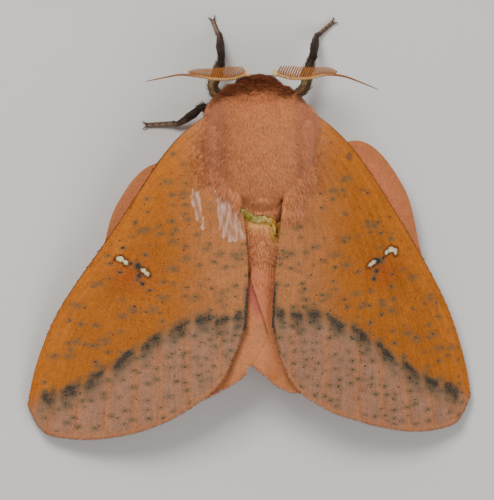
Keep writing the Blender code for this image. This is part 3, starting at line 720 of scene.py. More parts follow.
# %% Forewings
for side, label in SIDES:
    sheet, fan = make_wing("forewing", label, side, forewing_plans[side], (130, 200), forewing_mat,
                           lambda place: forewing_facts(place, side))
    store(sheet, {"Fan": fan, "Chance": np.full(len(fan), 0.5)})

# %% [markdown]
# ## Hindwings
# Under the roof lie the hindwings, pink-salmon and plain. Only a lobe at each front edge and a
# ragged strip behind show, but they are made whole, because the model may be seen from below.

# %% Hindwing material
def hindwing_facts(points, plan):
    """Ground colour of the hindwing: rose, paler at its edges, with a red fold along the body."""
    x, y = points.T
    costa, margin, inner = [near(points, plan[edge], count)
                            for edge, count in (("costa", 50), ("margin", 60), ("inner", 50))]
    ground = mix(ROSE, SALMON, 0.6 * fade(np.minimum(costa, margin), 1.6, 0.2))
    ground = mix(ground, PEACH, 0.85 * fade(y, 5.0, 9.0) * fade(x, 6.0, 4.0))
    ochre = hill(points, (0.6, 12.3), (0.7, 0.5))
    ground = mix(ground, GOLD, 0.6 * ochre * (1.0 - plan["red"]))
    red = plan["red"] * fade(y, 3.8, 5.0) * fade(y, 8.0, 6.6)
    ground = mix(ground, FOLD_RED, 0.8 * red * fade(inner, 0.7, 0.35))
    fold = plan["red"] * fade(y, 3.0, 4.4) * fade(y, 9.2, 8.2)
    ground = mix(ground, EDGE_BROWN, 0.8 * fold * fade(inner, 0.16, 0.06))
    vein = np.exp(-(vein_distance(points, plan) / 0.2) ** 2)
    ground = ground * (1.0 + 0.07 * ripple(points, 1.4) - 0.1 * vein)[:, None]
    smear = hill(points, (0.25, 8.2), (0.35, 0.2))
    return {"Ground": colour(mix(ground, HALO_GREEN, 0.5 * smear * plan["red"]))}


hindwing_mat, g = new_material("hindwing_scales", 0.7, Specular_IOR_Level=0.2)
grain = g.use(grain_group, Place=g.fact("Plan", "Vector"), Per_Millimetre=8.0, Contrast=0.2)
g.finish(g.shaded(g.fact("Ground", "Color"), grain["Shade"]), None, grain["Height"], 0.03, 0.7)

# %% Hindwings
for side, label in SIDES:
    plan = hindwing_plans[side]
    make_wing("hindwing", label, side, plan, (80, 110), hindwing_mat,
              lambda place: hindwing_facts(place, plan))

# %% [markdown]
# ## One skin for the body
# Head, thorax and abdomen are rounded forms that grow into each other. Thirteen closed lumps,
# from the thorax down to the two palps, are laid over one another, and a voxel remesh melts
# them into one surface with no seam. The fur later hides most of it, so its shape matters more
# than its surface.

# %% Body forms
THORAX_MIDDLE = (0.0, -5.6, 5.0)
THORAX_HALF = (4.0, 5.0, 3.2)
SHOULDER_SWELL = 0.22
ABDOMEN_START = (0.0, -2.4, 4.5)
ABDOMEN_TIP = (-0.6, 8.7, 4.25)
ABDOMEN_RADIUS = 2.15
ABDOMEN_RINGS = 7
HEAD_MIDDLE = (-0.3, -11.4, 4.6)
EGGS = {
    "head": ((-0.3, -11.0, 4.6), (1.45, 0.85, 1.3)),
    "neck": ((-0.1, -10.2, 5.1), (2.4, 1.1, 1.5)),
    "waist": ((0.0, -2.6, 5.0), (2.35, 3.6, 2.1)),
    "waist top": ((0.0, -2.6, 5.1), (2.2, 2.2, 2.25)),
    "shoulder left": ((2.5, -8.7, 5.0), (1.4, 1.6, 1.8)),
    "shoulder right": ((-2.6, -8.8, 5.0), (1.4, 1.6, 1.8)),
    "wing root left": ((3.0, -6.6, 5.7), (1.1, 2.9, 0.9)),
    "wing root right": ((-3.0, -6.6, 5.7), (1.1, 2.9, 0.9)),
    "right pad": ((-3.6, -8.0, 4.9), (1.3, 1.6, 1.05)),
    "palp left": ((0.1, -11.5, 3.5), (0.26, 0.45, 0.28)),
    "palp right": ((-0.7, -11.5, 3.5), (0.26, 0.45, 0.28))}


def around_axis(turn, wide, deep):
    """Offsets sideways and up, round a long axis that lies along y."""
    return np.column_stack([wide * np.cos(turn), 0 * turn, deep * np.sin(turn)])


def ring_faces(rings, around):
    """Faces between rings of points, each ring joined to the next."""
    grid = np.arange(rings * around).reshape(rings, around)
    nxt = np.roll(grid, -1, axis=1)
    return np.stack([grid[:-1], nxt[:-1], nxt[1:], grid[1:]], -1).reshape(-1, 4).tolist()


def ball_rings(place, around=48, rings=40):
    """A closed lump from a rule that gives each point for t from 0 to 1 and its turn."""
    t = np.linspace(0.0, 1.0, rings + 2)[1:-1]
    turn = np.linspace(0.0, 2 * math.pi, around, endpoint=False)
    points = place(*[a.ravel() for a in np.meshgrid(t, turn, indexing="ij")])
    ends = np.array([points[:around].mean(0), points[-around:].mean(0)])
    last = rings * around
    caps = [[last, (i + 1) % around, i] for i in range(around)]
    caps += [[last + 1, last - around + i, last - around + (i + 1) % around] for i in range(around)]
    return np.concatenate([points, ends]), ring_faces(rings, around) + caps


def thorax_place(t, turn):
    """The thorax, broad at the shoulders."""
    full = np.sin(math.pi * t) ** 0.65 * (1.06 - 0.22 * t)
    shoulder = 1.0 + SHOULDER_SWELL * np.exp(-((t - 0.18) / 0.12) ** 2)
    full = full * (1.0 - 0.25 * fade(t, 0.72, 1.0))
    along = -THORAX_HALF[1] * np.cos(math.pi * t) * (1.0 - 0.14 * fade(t, 0.5, 1.0))
    return THORAX_MIDDLE + np.outer(along, (0, 1, 0)) + around_axis(
        turn, THORAX_HALF[0] * full * shoulder, THORAX_HALF[2] * full)


def abdomen_place(t, turn):
    """The abdomen, with a groove between its rings."""
    share = 0.5 - 0.5 * np.cos(math.pi * t)
    axis = np.outer(1 - share, ABDOMEN_START) + np.outer(share, ABDOMEN_TIP)
    full = np.sqrt(np.maximum(0.0, 1.0 - share ** 2.2)) * np.minimum(1.0, 4.0 * np.sin(math.pi * t))
    groove = 1.0 - 0.02 * np.abs(np.sin(math.pi * ABDOMEN_RINGS * share)) ** 6
    radius = ABDOMEN_RADIUS * full * groove
    return axis + around_axis(turn, radius, radius)


def egg_place(middle, half):
    """A rule for a plain egg-shaped lump."""
    return lambda t, turn: middle + np.outer(-half[1] * np.cos(math.pi * t), (0, 1, 0)) + around_axis(
        turn, half[0] * np.sin(math.pi * t), half[2] * np.sin(math.pi * t))


BODY_LUMPS = [thorax_place, abdomen_place] + [egg_place(*egg) for egg in EGGS.values()]
print("lumps of the body:", len(BODY_LUMPS))

# %% [markdown]
# ## Body markings
# The plush is salmon-orange over the back, pinker at the sides, rusty at the rear of the thorax
# and at the collar, and dark red brown on the head. One rule gives this for any point, and both
# the skin and every hair root ask it.

# %% Body tint
HUMP_LINE = [(2.75, -8.2), (2.85, -5.0), (2.75, -3.0), (1.9, -2.2), (0.0, -1.85)]
DROP_LINE = [(1.75, -1.3), (1.3, -0.85), (0.6, -0.45), (-0.2, -0.4), (-0.95, -0.1), (-1.1, 0.8)]


def body_tint(points):
    """Colour of the fur at each point of the body."""
    x, y, z = points.T
    across = np.abs(x + 0.1)
    tint = mix(PLUSH, PINK_SIDE, 0.9 * fade(across, 2.3, 3.0))
    hump = np.exp(-(near(np.column_stack([across, y]), HUMP_LINE) / 0.32) ** 2) * fade(z, 4.8, 5.8)
    tint = mix(tint, RUST, (0.3 + 0.2 * fade(y, -4.5, -3.0)) * hump)
    tint = mix(tint, RUST, 0.25 * fade(y, -9.4, -10.3))
    collar = fade(y + 0.32 * ripple(points, 0.6) - 0.3 * np.minimum(across, 3.8), -10.6, -11.1)
    collar = collar * fade(across, 5.0, 3.6)
    tint = mix(tint, TUFT_BROWN, collar) * (1.0 + 0.5 * ripple(points, 0.22) * collar)[:, None]
    tint = mix(tint, LEG_BROWN, 0.5 * fade(y, -12.0, -12.6) * fade(z, 5.2, 4.2))
    tint = mix(tint, PLUSH, 0.85 * fade(y, -1.0, 1.0))
    tint = mix(tint, PALE_HAIR, 0.25 * fade(z, 4.2, 2.6) * (1 - collar))
    wet = fade(near(points[:, :2], DROP_LINE, 24), 0.75, 0.2) * fade(z, 5.0, 5.8)
    tint = mix(tint, STAIN_YELLOW, 0.85 * wet)
    mottle = 1.0 + 0.1 * ripple(points, 1.1) + 0.07 * ripple(points, 0.4, 1.0)
    return tint * mottle[:, None]


body_mat, g = new_material("body_fur", 0.78, Specular_IOR_Level=0.25)
strand = g.noise(g.own_place(), 9000.0, 3.0)
g.finish(hair_tint(g, 0.22), g.band(strand, 0.3, 0.7, 0.68, 0.85), strand, 0.04, 0.6)

# %% Body skin
VOXEL = 0.11


def join_parts(parts):
    """Several sets of points and faces as one."""
    points, faces, count = [], [], 0
    for made, quads in parts:
        points.append(made)
        faces += [[int(i) + count for i in face] for face in quads]
        count += len(made)
    return np.concatenate(points), faces


def melt(lumps):
    """One smooth surface round several lumps: its points in millimetres and its faces."""
    points, faces = join_parts([ball_rings(rule) for rule in lumps])
    mesh = bpy.data.meshes.new("lumps")
    mesh.from_pydata(points * MM, [], faces)
    thing = bpy.data.objects.new("lumps", mesh)
    bpy.context.scene.collection.objects.link(thing)
    remesh = thing.modifiers.new("melt", "REMESH")
    remesh.mode = "VOXEL"
    remesh.voxel_size = VOXEL * MM
    thing.modifiers.new("ease", "SMOOTH").iterations = 10
    bpy.context.view_layer.update()
    made = thing.evaluated_get(bpy.context.evaluated_depsgraph_get()).to_mesh()
    coords = np.empty(len(made.vertices) * 3)
    made.vertices.foreach_get("co", coords)
    quads = [tuple(polygon.vertices) for polygon in made.polygons]
    bpy.data.objects.remove(thing)
    return coords.reshape(-1, 3) / MM, quads


skin_points, skin_faces = melt(BODY_LUMPS)
body_skin = make_piece("body_skin", skin_points, skin_faces, body_mat,
                       ["head", "thorax", "abdomen"])
store(body_skin, {"Tint": colour(body_tint(skin_points)), "Along": np.full(len(skin_points), 0.45),
                  "Chance": np.full(len(skin_points), 0.5)})

# %% [markdown]
# ## How a tuft is made
# Hair could be a particle system, but a game engine or a printer can't read one. Here each tuft
# is a tiny closed spike: rings of three points that bend over towards the body, then a tip. All
# tufts of a piece are made at once as arrays. Each also gets a small patch of a flat map at its
# root's place, so that colours can be baked.

# %% Tuft maker
PATCH = 0.003
TRIANGLES_PER_PIECE = 170000


def tuft_points(roots, normals, lies, sizes, rings):
    """Points of many spikes. sizes holds length, width, rise at the root and at the tip."""
    length, width, rise, fall = [column[:, None] for column in sizes.T]
    aside = unit(np.cross(normals, lies))
    spot = roots - 0.04 * normals
    points = []
    for k in range(rings):
        wide = width * (1.0 - 0.55 * k / rings)
        points += [spot - aside * wide / 2, spot + aside * wide / 2, spot + normals * wide * 0.35]
        angle = rise + (fall - rise) * (k + 0.5) / rings
        spot = spot + length / rings * (np.cos(angle) * lies + np.sin(angle) * normals)
    points.append(spot)
    return np.stack(points, axis=1)


def tuft_faces(rings):
    """Triangles of one spike."""
    faces = [(0, 2, 1)]
    for k in range(rings - 1):
        for i, j in ((0, 1), (1, 2), (2, 0)):
            a, b, c, d = 3 * k + i, 3 * k + j, 3 * k + 3 + j, 3 * k + 3 + i
            faces += [(a, b, c), (a, c, d)]
    last = 3 * rings - 3
    return np.array(faces + [(last, last + 1, 3 * rings), (last + 1, last + 2, 3 * rings),
                             (last + 2, last, 3 * rings)])


def grow(name, roots, normals, lies, sizes, unwrap, facts, material, rings=2):
    """Coat pieces of tufts. facts holds values for each root, unwrap its place on a flat map."""
    lies = unit(lies - normals * np.sum(lies * normals, axis=1, keepdims=True))
    pattern = tuft_faces(rings)
    each = 3 * rings + 1
    parts = max(1, math.ceil(len(roots) * len(pattern) / TRIANGLES_PER_PIECE))
    across = np.array([(0.0, 1.0, 0.5)[i % 3] for i in range(each - 1)] + [0.5])
    along = np.array([(i // 3) / rings for i in range(each - 1)] + [1.0])
    for part in range(parts):
        pick = slice(part, None, parts)
        points = tuft_points(roots[pick], normals[pick], lies[pick], sizes[pick], rings)
        many = len(points)
        faces = (pattern[None] + each * np.arange(many)[:, None, None]).reshape(-1, 3)
        label = name if parts == 1 else f"{name}_{part + 1}"
        piece = make_piece(label, points.reshape(-1, 3), faces, material)
        store(piece, {key: np.repeat(values[pick], each, axis=0) for key, values in facts.items()})
        store(piece, {"Along": np.tile(along, many)})
        patch = np.column_stack([across - 0.5, along - 0.5]) * PATCH
        spots = np.clip(unwrap[pick], PATCH, 1.0 - PATCH)[:, None, :] + patch[None]
        layer = piece.data.uv_layers.new(name="OFBake")
        layer.data.foreach_set("uv", spots.reshape(-1, 2)[faces.ravel()].ravel())


def scatter(points, faces, count, weight, rng):
    """Random places on a surface, denser where the weight of a place is larger, with normals."""
    faces = np.array([face[:3] for face in faces] + [(f[0], f[2], f[3]) for f in faces if len(f) > 3])
    a, b, c = points[faces[:, 0]], points[faces[:, 1]], points[faces[:, 2]]
    cross = np.cross(b - a, c - a)
    chance = np.linalg.norm(cross, axis=1) * weight((a + b + c) / 3, unit(cross))
    pick = rng.choice(len(faces), count, p=chance / chance.sum())
    u, v = rng.random((2, count, 1))
    flip = (u + v) > 1.0
    u, v = np.where(flip, 1 - u, u), np.where(flip, 1 - v, v)
    return a[pick] + u * (b - a)[pick] + v * (c - a)[pick], unit(cross)[pick]


# %% [markdown]
# ## The lie of the fur
# Moth fur lies backward over the thorax and abdomen. On the head it stands higher and fans out
# over the collar, and only the hair of the face points forward. Neighbouring hairs lean
# together in locks, so the direction is turned by a slow ripple as well as by chance.

# %% Fur direction and sizes
PARTING = (-11.5, -12.2)


def body_lie(points, rng, loose):
    """Which way the hair leans at each root."""
    x, y, z = points.T
    ahead = fade(y + 0.4 * ripple(points, 1.1), *PARTING)
    fan = fade(y, -10.0, -10.9)
    back = np.column_stack([(0.12 + 0.42 * fan) * (x + 0.2), np.ones(len(x)), -0.25 + 0.35 * fan])
    front = np.column_stack([0.5 * (x + 0.3), -np.ones(len(x)), -0.3 + 0 * x])
    lie = back * (1 - ahead)[:, None] + front * ahead[:, None]
    lie[:, 0] += 0.28 * ripple(points, 0.55) + loose * rng.normal(size=len(x))
    lie[:, 2] += 0.25 * ripple(points, 0.7, 3.0)
    return lie


def body_unwrap(points):
    """The body rolled out flat: its turn about the long axis, and its length."""
    turn = np.arctan2(points[:, 0], points[:, 2] - 4.7) / (2 * math.pi) + 0.5
    return np.column_stack([turn, (points[:, 1] + 13.6) / 23.0])


def tuft_sizes(count, rng, length, width, rise, fall):
    """Sizes for each tuft, varied by a quarter."""
    vary = rng.uniform(0.75, 1.25, (count, 2))
    return np.column_stack([length * vary[:, 0], width * vary[:, 1],
                            rise * rng.uniform(0.8, 1.3, count), fall * np.ones(count)])


# %% Thorax, abdomen and head fur
rng = np.random.default_rng(SEED)


def coat_facts(roots):
    """Tint and chance for each root of the body's fur."""
    shuffled = roots + rng.normal(size=roots.shape) * (0.1, 0.14, 0.1)
    return {"Tint": colour(body_tint(shuffled)), "Chance": rng.random(len(roots))}


def fur(name, count, weight, length, width, rise, fall, loose, rings=2):
    """A coat over the part of the skin that weight picks. Each rule gets x, y and z."""
    roots, normals = scatter(skin_points, skin_faces, count, lambda p, n: weight(*p.T), rng)
    long, high = [rule(*roots.T) if callable(rule) else rule for rule in (length, rise)]
    grow(name, roots, normals, body_lie(roots, rng, loose),
         tuft_sizes(count, rng, long, width, high, fall), body_unwrap(roots), coat_facts(roots),
         body_mat, rings)


def matted(x, y):
    """1, or less where fluid has glued the fur down."""
    return fade(near(np.column_stack([x, y]), DROP_LINE, 24), 0.2, 0.7) * 0.7 + 0.3


def thorax_length(x, y, z):
    """Short plush on the hump, longer at the rear and over the wing roots."""
    side = fade(np.abs(x), 2.6, 3.6) * fade(y, -9.2, -7.5)
    return (0.56 + 0.12 * fade(y, -4.0, -2.2) + 0.45 * side) * matted(x, y)


fur("thorax_fur", 46000,
    lambda x, y, z: fade(y, -10.8, -10.4) * fade(y, -0.6, -2.2) * (0.4 + 0.6 * fade(z, 3.5, 5.5)),
    thorax_length, 0.045, lambda x, y, z: 0.8 - 0.45 * fade(y, -4.0, -2.4), 0.25, 0.2)
fur("abdomen_fur", 15000, lambda x, y, z: fade(y, -2.6, -1.4) * (0.5 + 0.5 * fade(z, 4.0, 6.0)),
    lambda x, y, z: 0.72 * matted(x, y), 0.05,
    lambda x, y, z: 0.32 + 0.15 * fade(y, 0.5, 1.5), 0.08, 0.12)
fur("head_fur", 11000, lambda x, y, z: fade(y, -10.2, -10.8),
    lambda x, y, z: 0.42 + 0.6 * fade(y, -11.9, -11.2) * fade(z, 3.6, 4.6), 0.06, 0.7, 0.3, 0.5, 3)

# %% [markdown]
# ## Legs
# A moth's leg has a stout hairy thigh, a slimmer shin, and a foot of five beads that ends in two
# hooked claws. Each leg is one tube whose thickness swells in every joint and narrows between
# them. It follows the joints' places in the solids, and its lowest points are pressed flat on
# the floor.

# %% Tube maker
def tube_frames(path):
    """Two crosswise directions at each point of a path, that turn as little as they can."""
    along = unit(np.gradient(path, axis=0))
    aside = np.empty_like(path)
    aside[0] = unit(np.cross(along[0], (0.03, 0.05, 1.0)))
    for i in range(1, len(path)):
        aside[i] = unit(aside[i - 1] - along[i] * (aside[i - 1] @ along[i]))
    return along, aside, np.cross(along, aside)


def tube(path, radii, around=14):
    """Points and faces of a closed round tube."""
    along, aside, over = tube_frames(path)
    turn = np.linspace(0, 2 * math.pi, around, endpoint=False)[None, :, None]
    ring = aside[:, None] * np.cos(turn) + over[:, None] * np.sin(turn)
    points = (path[:, None] + ring * np.asarray(radii)[:, None, None]).reshape(-1, 3)
    first, last = list(range(around)), list(range(len(points) - around, len(points)))
    return points, ring_faces(len(path), around) + [first[::-1], last]


# %% Leg shapes
LEGS = {
    "foreleg_left": [(1.3, -9.2, 2.9), (2.9, -10.9, 2.5), (2.3, -13.4, 2.7), (2.0, -15.2, 0.8),
                     (2.4, -16.5, 0.2)],
    "foreleg_right": [(-1.5, -9.2, 2.9), (-4.3, -10.7, 2.5), (-5.2, -13.4, 2.7), (-5.9, -15.0, 0.8),
                      (-7.4, -16.15, 0.2)],
    "midleg_left": [(1.5, -7.0, 2.8), (2.4, -8.2, 1.9), (3.8, -9.5, 2.6), (5.4, -8.3, 0.8),
                    (8.0, -8.2, 0.2)],
    "midleg_right": [(-1.5, -7.0, 2.8), (-2.8, -7.4, 1.9), (-4.9, -6.6, 2.6), (-5.9, -4.9, 0.8),
                     (-7.2, -3.4, 0.2)],
    "hindleg_left": [(1.4, -4.4, 2.8), (2.6, -3.6, 1.9), (4.6, -1.0, 2.7), (6.0, 2.4, 0.8),
                     (7.4, 5.4, 0.2)],
    "hindleg_right": [(-1.4, -4.4, 2.8), (-2.6, -3.6, 1.9), (-4.7, -1.2, 2.7), (-6.2, 2.2, 0.8),
                      (-7.6, 5.2, 0.2)]}
FOOT_RADIUS = 0.25
TARSUS_BEADS = 5
LEG_THICKNESS = [0.48, 0.42, 0.42, 0.24, 0.34, 0.2] + 6 * [0.19]
LEG_PATH_POINTS = 160
LEG_AROUND = 18
HOOK = [(-0.1, 0.04, 0.02), (0.12, 0.15, 0.1), (0.3, 0.26, 0.06), (0.36, 0.3, -0.08)]


def leg_line(joints):
    """The leg's path and thickness, and the share along it."""
    hip, bend, knee, ankle, foot = np.array(joints, float)
    stations = [hip, bend, bend + (knee - bend) * 0.5, knee, knee + (ankle - knee) * 0.5, ankle]
    for i in range(1, 7):
        spot = ankle + (foot - ankle) * i / 6
        spot[2] = FOOT_RADIUS * 0.8 + (ankle[2] - FOOT_RADIUS) * (1 - i / 6) ** 2
        stations.append(spot)
    share = steps(LEG_PATH_POINTS)
    radii = smooth(np.array(LEG_THICKNESS)[:, None], share)[:, 0]
    bead = (share * 11 - 5) / 6 * TARSUS_BEADS
    on_foot = fade(share, 5 / 11, 5.4 / 11)
    radii = radii * (1 - on_foot * 0.28 * np.abs(np.cos(math.pi * bead)) ** 6)
    return smooth(stations, share), radii, share


def claw_parts(path):
    """Two hooked claws at the end of a foot."""
    foot = path[-1]
    ahead = unit((path[-1] - path[-12]) * (1, 1, 0))
    aside = np.cross(ahead, (0, 0, 1.0))
    hooks = [[foot + ahead * a + aside * way * b + (0, 0, c) for a, b, c in HOOK] for way in (1, -1)]
    return [tube(smooth(hook, steps(9)), np.linspace(0.09, 0.014, 9), 8) for hook in hooks]


def leg_tint(share, turn):
    """Brown with straw-coloured hair on the thigh, a grey foot with a brown stripe."""
    thigh = mix(LEG_STRAW, LEG_BROWN, 0.7 * fade(np.cos(turn * 3.0), 0.5, -0.5))
    stripe = fade(np.sin(turn * 2.0), -0.2, 0.5)
    foot = fade(share, 0.47, 0.56) * (0.35 + 0.65 * stripe)
    foot = foot + 0.5 * stripe * fade(share, 0.36, 0.46) * fade(share, 0.56, 0.47)
    return mix(mix(thigh, LEG_BROWN, fade(share, 0.12, 0.26)), LEG_GREY, foot)


# %% Leg finish
leg_mat, g = new_material("leg_scales", 0.6, Specular_IOR_Level=0.35)
enlarged = g.vector("MULTIPLY", g.own_place(), (1 / MM, 1 / MM, 1 / MM))
grain = g.use(grain_group, Place=enlarged, Per_Millimetre=12.0, Contrast=0.25)
g.finish(g.shaded(hair_tint(g, 0.35), grain["Shade"]), None, grain["Height"], 0.03, 0.6)

claw_mat, g = new_material("claw_horn", 0.28, Specular_IOR_Level=0.6, Coat_Weight=0.4)
streaks = g.noise(g.own_place(), 4000.0, 2.0)
g.finish(g.mix(streaks, (0.11, 0.012, 0.008), (0.025, 0.008, 0.006)),
         g.band(streaks, 0.3, 0.7, 0.2, 0.36))

# %% Legs and their hair
LEG_TUFTS = 2200
for name, joints in LEGS.items():
    path, radii, share = leg_line(joints)
    points, faces = tube(path, radii, LEG_AROUND)
    turn = np.tile(np.linspace(0, 2 * math.pi, LEG_AROUND, endpoint=False), len(path))
    above_floor = np.maximum(points, (-np.inf, -np.inf, 0.0))
    leg = make_piece(name + "_skin", above_floor, faces, leg_mat, [name])
    store(leg, {"Tint": colour(leg_tint(np.repeat(share, LEG_AROUND), turn)),
                "Along": np.full(len(points), 0.5), "Chance": np.full(len(points), 0.5)})
    claws, claw_faces = join_parts(claw_parts(path))
    make_piece(name + "_claws", np.maximum(claws, (-np.inf, -np.inf, 0.0)), claw_faces, claw_mat)

    along, aside, over = tube_frames(path)
    step = (rng.random(LEG_TUFTS) ** 0.9 * (LEG_PATH_POINTS - 2)).astype(int)
    spin = rng.random(LEG_TUFTS) * 2 * math.pi
    out = aside[step] * np.cos(spin)[:, None] + over[step] * np.sin(spin)[:, None]
    roots = path[step] + out * radii[step][:, None] * 0.95
    keep = roots[:, 2] > 0.05
    step, spin, out, roots = step[keep], spin[keep], out[keep], roots[keep]
    at = share[step]
    long = 0.18 + 0.32 * fade(at, 0.4, 0.2) + 0.12 * fade(at, 0.6, 0.45)
    sizes = tuft_sizes(len(roots), rng, long, 0.065, 0.4, 0.05)
    sizes[:, 2] *= 0.4 + 0.6 * fade(roots[:, 2], 0.1, 0.5)
    grow(name + "_hair", roots, out, along[step] + 0.2 * rng.normal(size=out.shape), sizes,
         np.column_stack([spin / (2 * math.pi), at]),
         {"Tint": colour(leg_tint(at, spin)), "Chance": rng.random(len(roots))}, leg_mat)

# %% [markdown]
# ## Feelers
# A male smells a female from far away with comb-like feelers. Each has a pale shaft of short
# segments with two rows of thin branches, and each branch carries rows of tiny hairs. The last
# third is a bare tapering thread. All branches are tubes joined into one mesh.

# %% Feeler shapes
ANTENNA_BASE = (0.85, -0.75, 0.8)
SHAFT_STEPS = {1: [(0, 0, 0), (1.5, 0.42, 0.15), (3.5, 0.34, 0.2), (4.9, 0.0, 0.1),
                   (6.4, 0.14, -0.05), (8.4, 0.5, -0.25)],
               -1: [(-0.25, 0, 0), (-1.3, 0.42, 0.15), (-3.3, 0.46, 0.2), (-5.1, 0.2, 0.1),
                    (-6.8, 0.66, -0.05), (-8.85, 1.5, -0.25)]}
COMB_SHARE = 0.58
COMB_REACH = 1.05
BRANCH_POINTS = 8


def feeler_line(side):
    """Seven evenly spaced points along the shaft."""
    base = np.array(HEAD_MIDDLE) + (side * ANTENNA_BASE[0], *ANTENNA_BASE[1:])
    path = base + smooth(SHAFT_STEPS[side], steps(200))
    run = np.concatenate([[0.0], np.cumsum(np.linalg.norm(np.diff(path, axis=0), axis=1))])
    even = np.linspace(0, run[-1], 7)
    return np.column_stack([np.interp(even, run, column) for column in path.T])


def ramus(line, side, share, rise):
    """One branch of the comb, as a path."""
    root = smooth(line, share)
    reach = COMB_REACH * min(1.0, 0.55 + 3.0 * share) * (1.0 - 0.85 * (share / COMB_SHARE) ** 3) ** 0.7
    way = unit(np.array((0.3 * side, -0.92, rise))) * reach
    bend = np.array((0.12 * side, 0.0, -0.25 * rise))
    return smooth([root, root + way * 0.35, root + way * 0.7 + bend * 0.3, root + way + bend],
                  steps(BRANCH_POINTS))


feeler_mat, g = new_material("feeler", 0.5, Specular_IOR_Level=0.4)
fleck = g.noise(g.own_place(), 5000.0, 3.0)
g.finish(g.shaded(g.fact("Tint", "Color"), g.band(fleck, 0.3, 0.7, 0.75, 1.2)), None, fleck, 0.02, 0.5)

# %% Feelers
RAMI = 25
CILIA = 20
SHAFT_RADIUS = 0.13
SHAFT_AROUND = 10
SEGMENTS = 38
BRANCH_AROUND = 5
SOCKET_POINTS = 14
branch_tint = mix(CREAM, RAMI_ORANGE, fade(steps(BRANCH_POINTS), -0.3, 0.12))
for side, label in SIDES:
    name = "antenna_" + label
    line = feeler_line(side)
    share = steps(300)
    radii = SHAFT_RADIUS * np.minimum(1.0, 1.5 - 1.25 * share)
    radii = radii * (1.0 + 0.14 * np.cos(share * SEGMENTS * 2 * math.pi))
    radii[:SOCKET_POINTS] = np.linspace(0.3, 0.2, SOCKET_POINTS)
    parts = [tube(smooth(line, share), radii, SHAFT_AROUND)]
    shaft_tint = mix(mix(CREAM, RAMI_ORANGE, 0.6 * (share > 0.04)), THREAD_BROWN, fade(share, 0.4, 0.62))
    tints = [np.repeat(shaft_tint, SHAFT_AROUND, axis=0)]
    cilia = []
    for i in range(RAMI):
        for rise in (0.32, -0.32):
            at = 0.042 + (COMB_SHARE - 0.03) * (i - (0.3 * side if rise < 0 else 0.0)) / RAMI
            branch = ramus(line, side, at, rise)
            parts.append(tube(branch, np.linspace(0.074, 0.05, BRANCH_POINTS), BRANCH_AROUND))
            tints.append(np.repeat(branch_tint, BRANCH_AROUND, axis=0))
            along, aside, _ = tube_frames(branch)
            step = rng.uniform(0.5, BRANCH_POINTS - 1.1, CILIA)
            low = step.astype(int)
            spot = branch[low] + (branch[low + 1] - branch[low]) * (step - low)[:, None]
            flip = np.where(rng.random(CILIA) < 0.5, 1.0, -1.0)[:, None]
            lean = unit(aside[low] * flip + 0.4 * rng.normal(size=(CILIA, 3)))
            flat = np.column_stack([np.full(CILIA, at), step / 16 + (0.5 if rise > 0 else 0.0)])
            cilia.append((spot, lean, along[low], flat))
    points, faces = join_parts(parts)
    feeler = make_piece(name + "_comb", points, faces, feeler_mat, [name])
    store(feeler, {"Tint": colour(np.concatenate(tints))})
    roots, normals, lies, flat = [np.concatenate(part) for part in zip(*cilia)]
    normals = unit(normals - lies * np.sum(normals * lies, axis=1, keepdims=True))
    sizes = tuft_sizes(len(roots), rng, 0.12, 0.02, 0.7, 0.4)
    grow(name + "_cilia", roots, normals, lies, sizes, flat,
         {"Tint": colour(np.tile(RAMI_ORANGE, (len(roots), 1))), "Chance": rng.random(len(roots))},
         feeler_mat)

# %% [markdown]
# ## Eyes
# The eyes sit at the sides of the head, under the feelers. A compound eye is a ball of hundreds
# of tiny lenses. Points spread evenly over a ball by the golden angle stand for the lenses, and
# every point of a fine sphere is raised by how close it is to the nearest one.

# %% Eyes
EYE_RADIUS = 0.74
EYE_SET = (1.02, 0.12, -0.5)
LENSES = 900

eye_mat, g = new_material("eye_lens", 0.25, Specular_IOR_Level=0.5, Coat_Weight=0.15)
clouds = g.noise(g.own_place(), 1500.0, 2.0)
g.finish(g.mix(clouds, (0.012, 0.008, 0.008), (0.05, 0.022, 0.012)),
         g.band(clouds, 0.3, 0.7, 0.2, 0.34))

lens_turn = np.arange(LENSES) * math.pi * (3.0 - math.sqrt(5.0))
lens_up = 1.0 - 2.0 * (np.arange(LENSES) + 0.5) / LENSES
lens_out = np.sqrt(1 - lens_up ** 2)
lenses = np.column_stack([lens_out * np.cos(lens_turn), lens_out * np.sin(lens_turn), lens_up])
ball, ball_faces = ball_rings(egg_place((0, 0, 0), (1, 1, 1)), 120, 80)
closest = np.max(unit(ball) @ lenses.T, axis=1)
bulge = 1.0 - 5.4 * np.maximum(0.0, 1.0 - closest)
for side, label in SIDES:
    middle = np.array(HEAD_MIDDLE) + (side * EYE_SET[0], *EYE_SET[1:])
    points = middle + unit(ball) * (EYE_RADIUS * (0.985 + 0.015 * bulge))[:, None]
    make_piece(f"eye_{label}_lenses", points, ball_faces, eye_mat, ["eye_" + label])

# %% [markdown]
# ## Loose scales and the fringe
# Scales that stand up a little break the wing's smooth outline and catch the light. They are
# the same spikes as the fur, short and wide, and lie towards the margin. The margin itself ends
# in a fringe of longer pale ones. The bare patch keeps none.

# %% Wing scales
WING_SCALES = 32000
SCALES_BEYOND = {1: 1.25, -1: 0.6}
SLOPE_NORMAL = unit(np.array((ROOF_SLOPE, 0.05, 1.0)))


def wing_spot(plan, share, v):
    """Places, heights and the way to the margin for scattered shares of a wing."""
    lines = wing_lines(plan)
    where = share * (len(lines) - 1)
    low = np.minimum(where.astype(int), len(lines) - 2)
    f = (where - low)[:, None]

    def across(t):
        rows, each = np.stack([smooth(line, t) for line in lines]), np.arange(len(t))
        return rows[low, each] * (1 - f) + rows[low + 1, each] * f

    place = across(v)
    way = unit(across(np.minimum(v + 0.01, 1.0)) - across(np.maximum(v - 0.01, 0.0)))
    return place, wing_height(place, share, v, plan), way


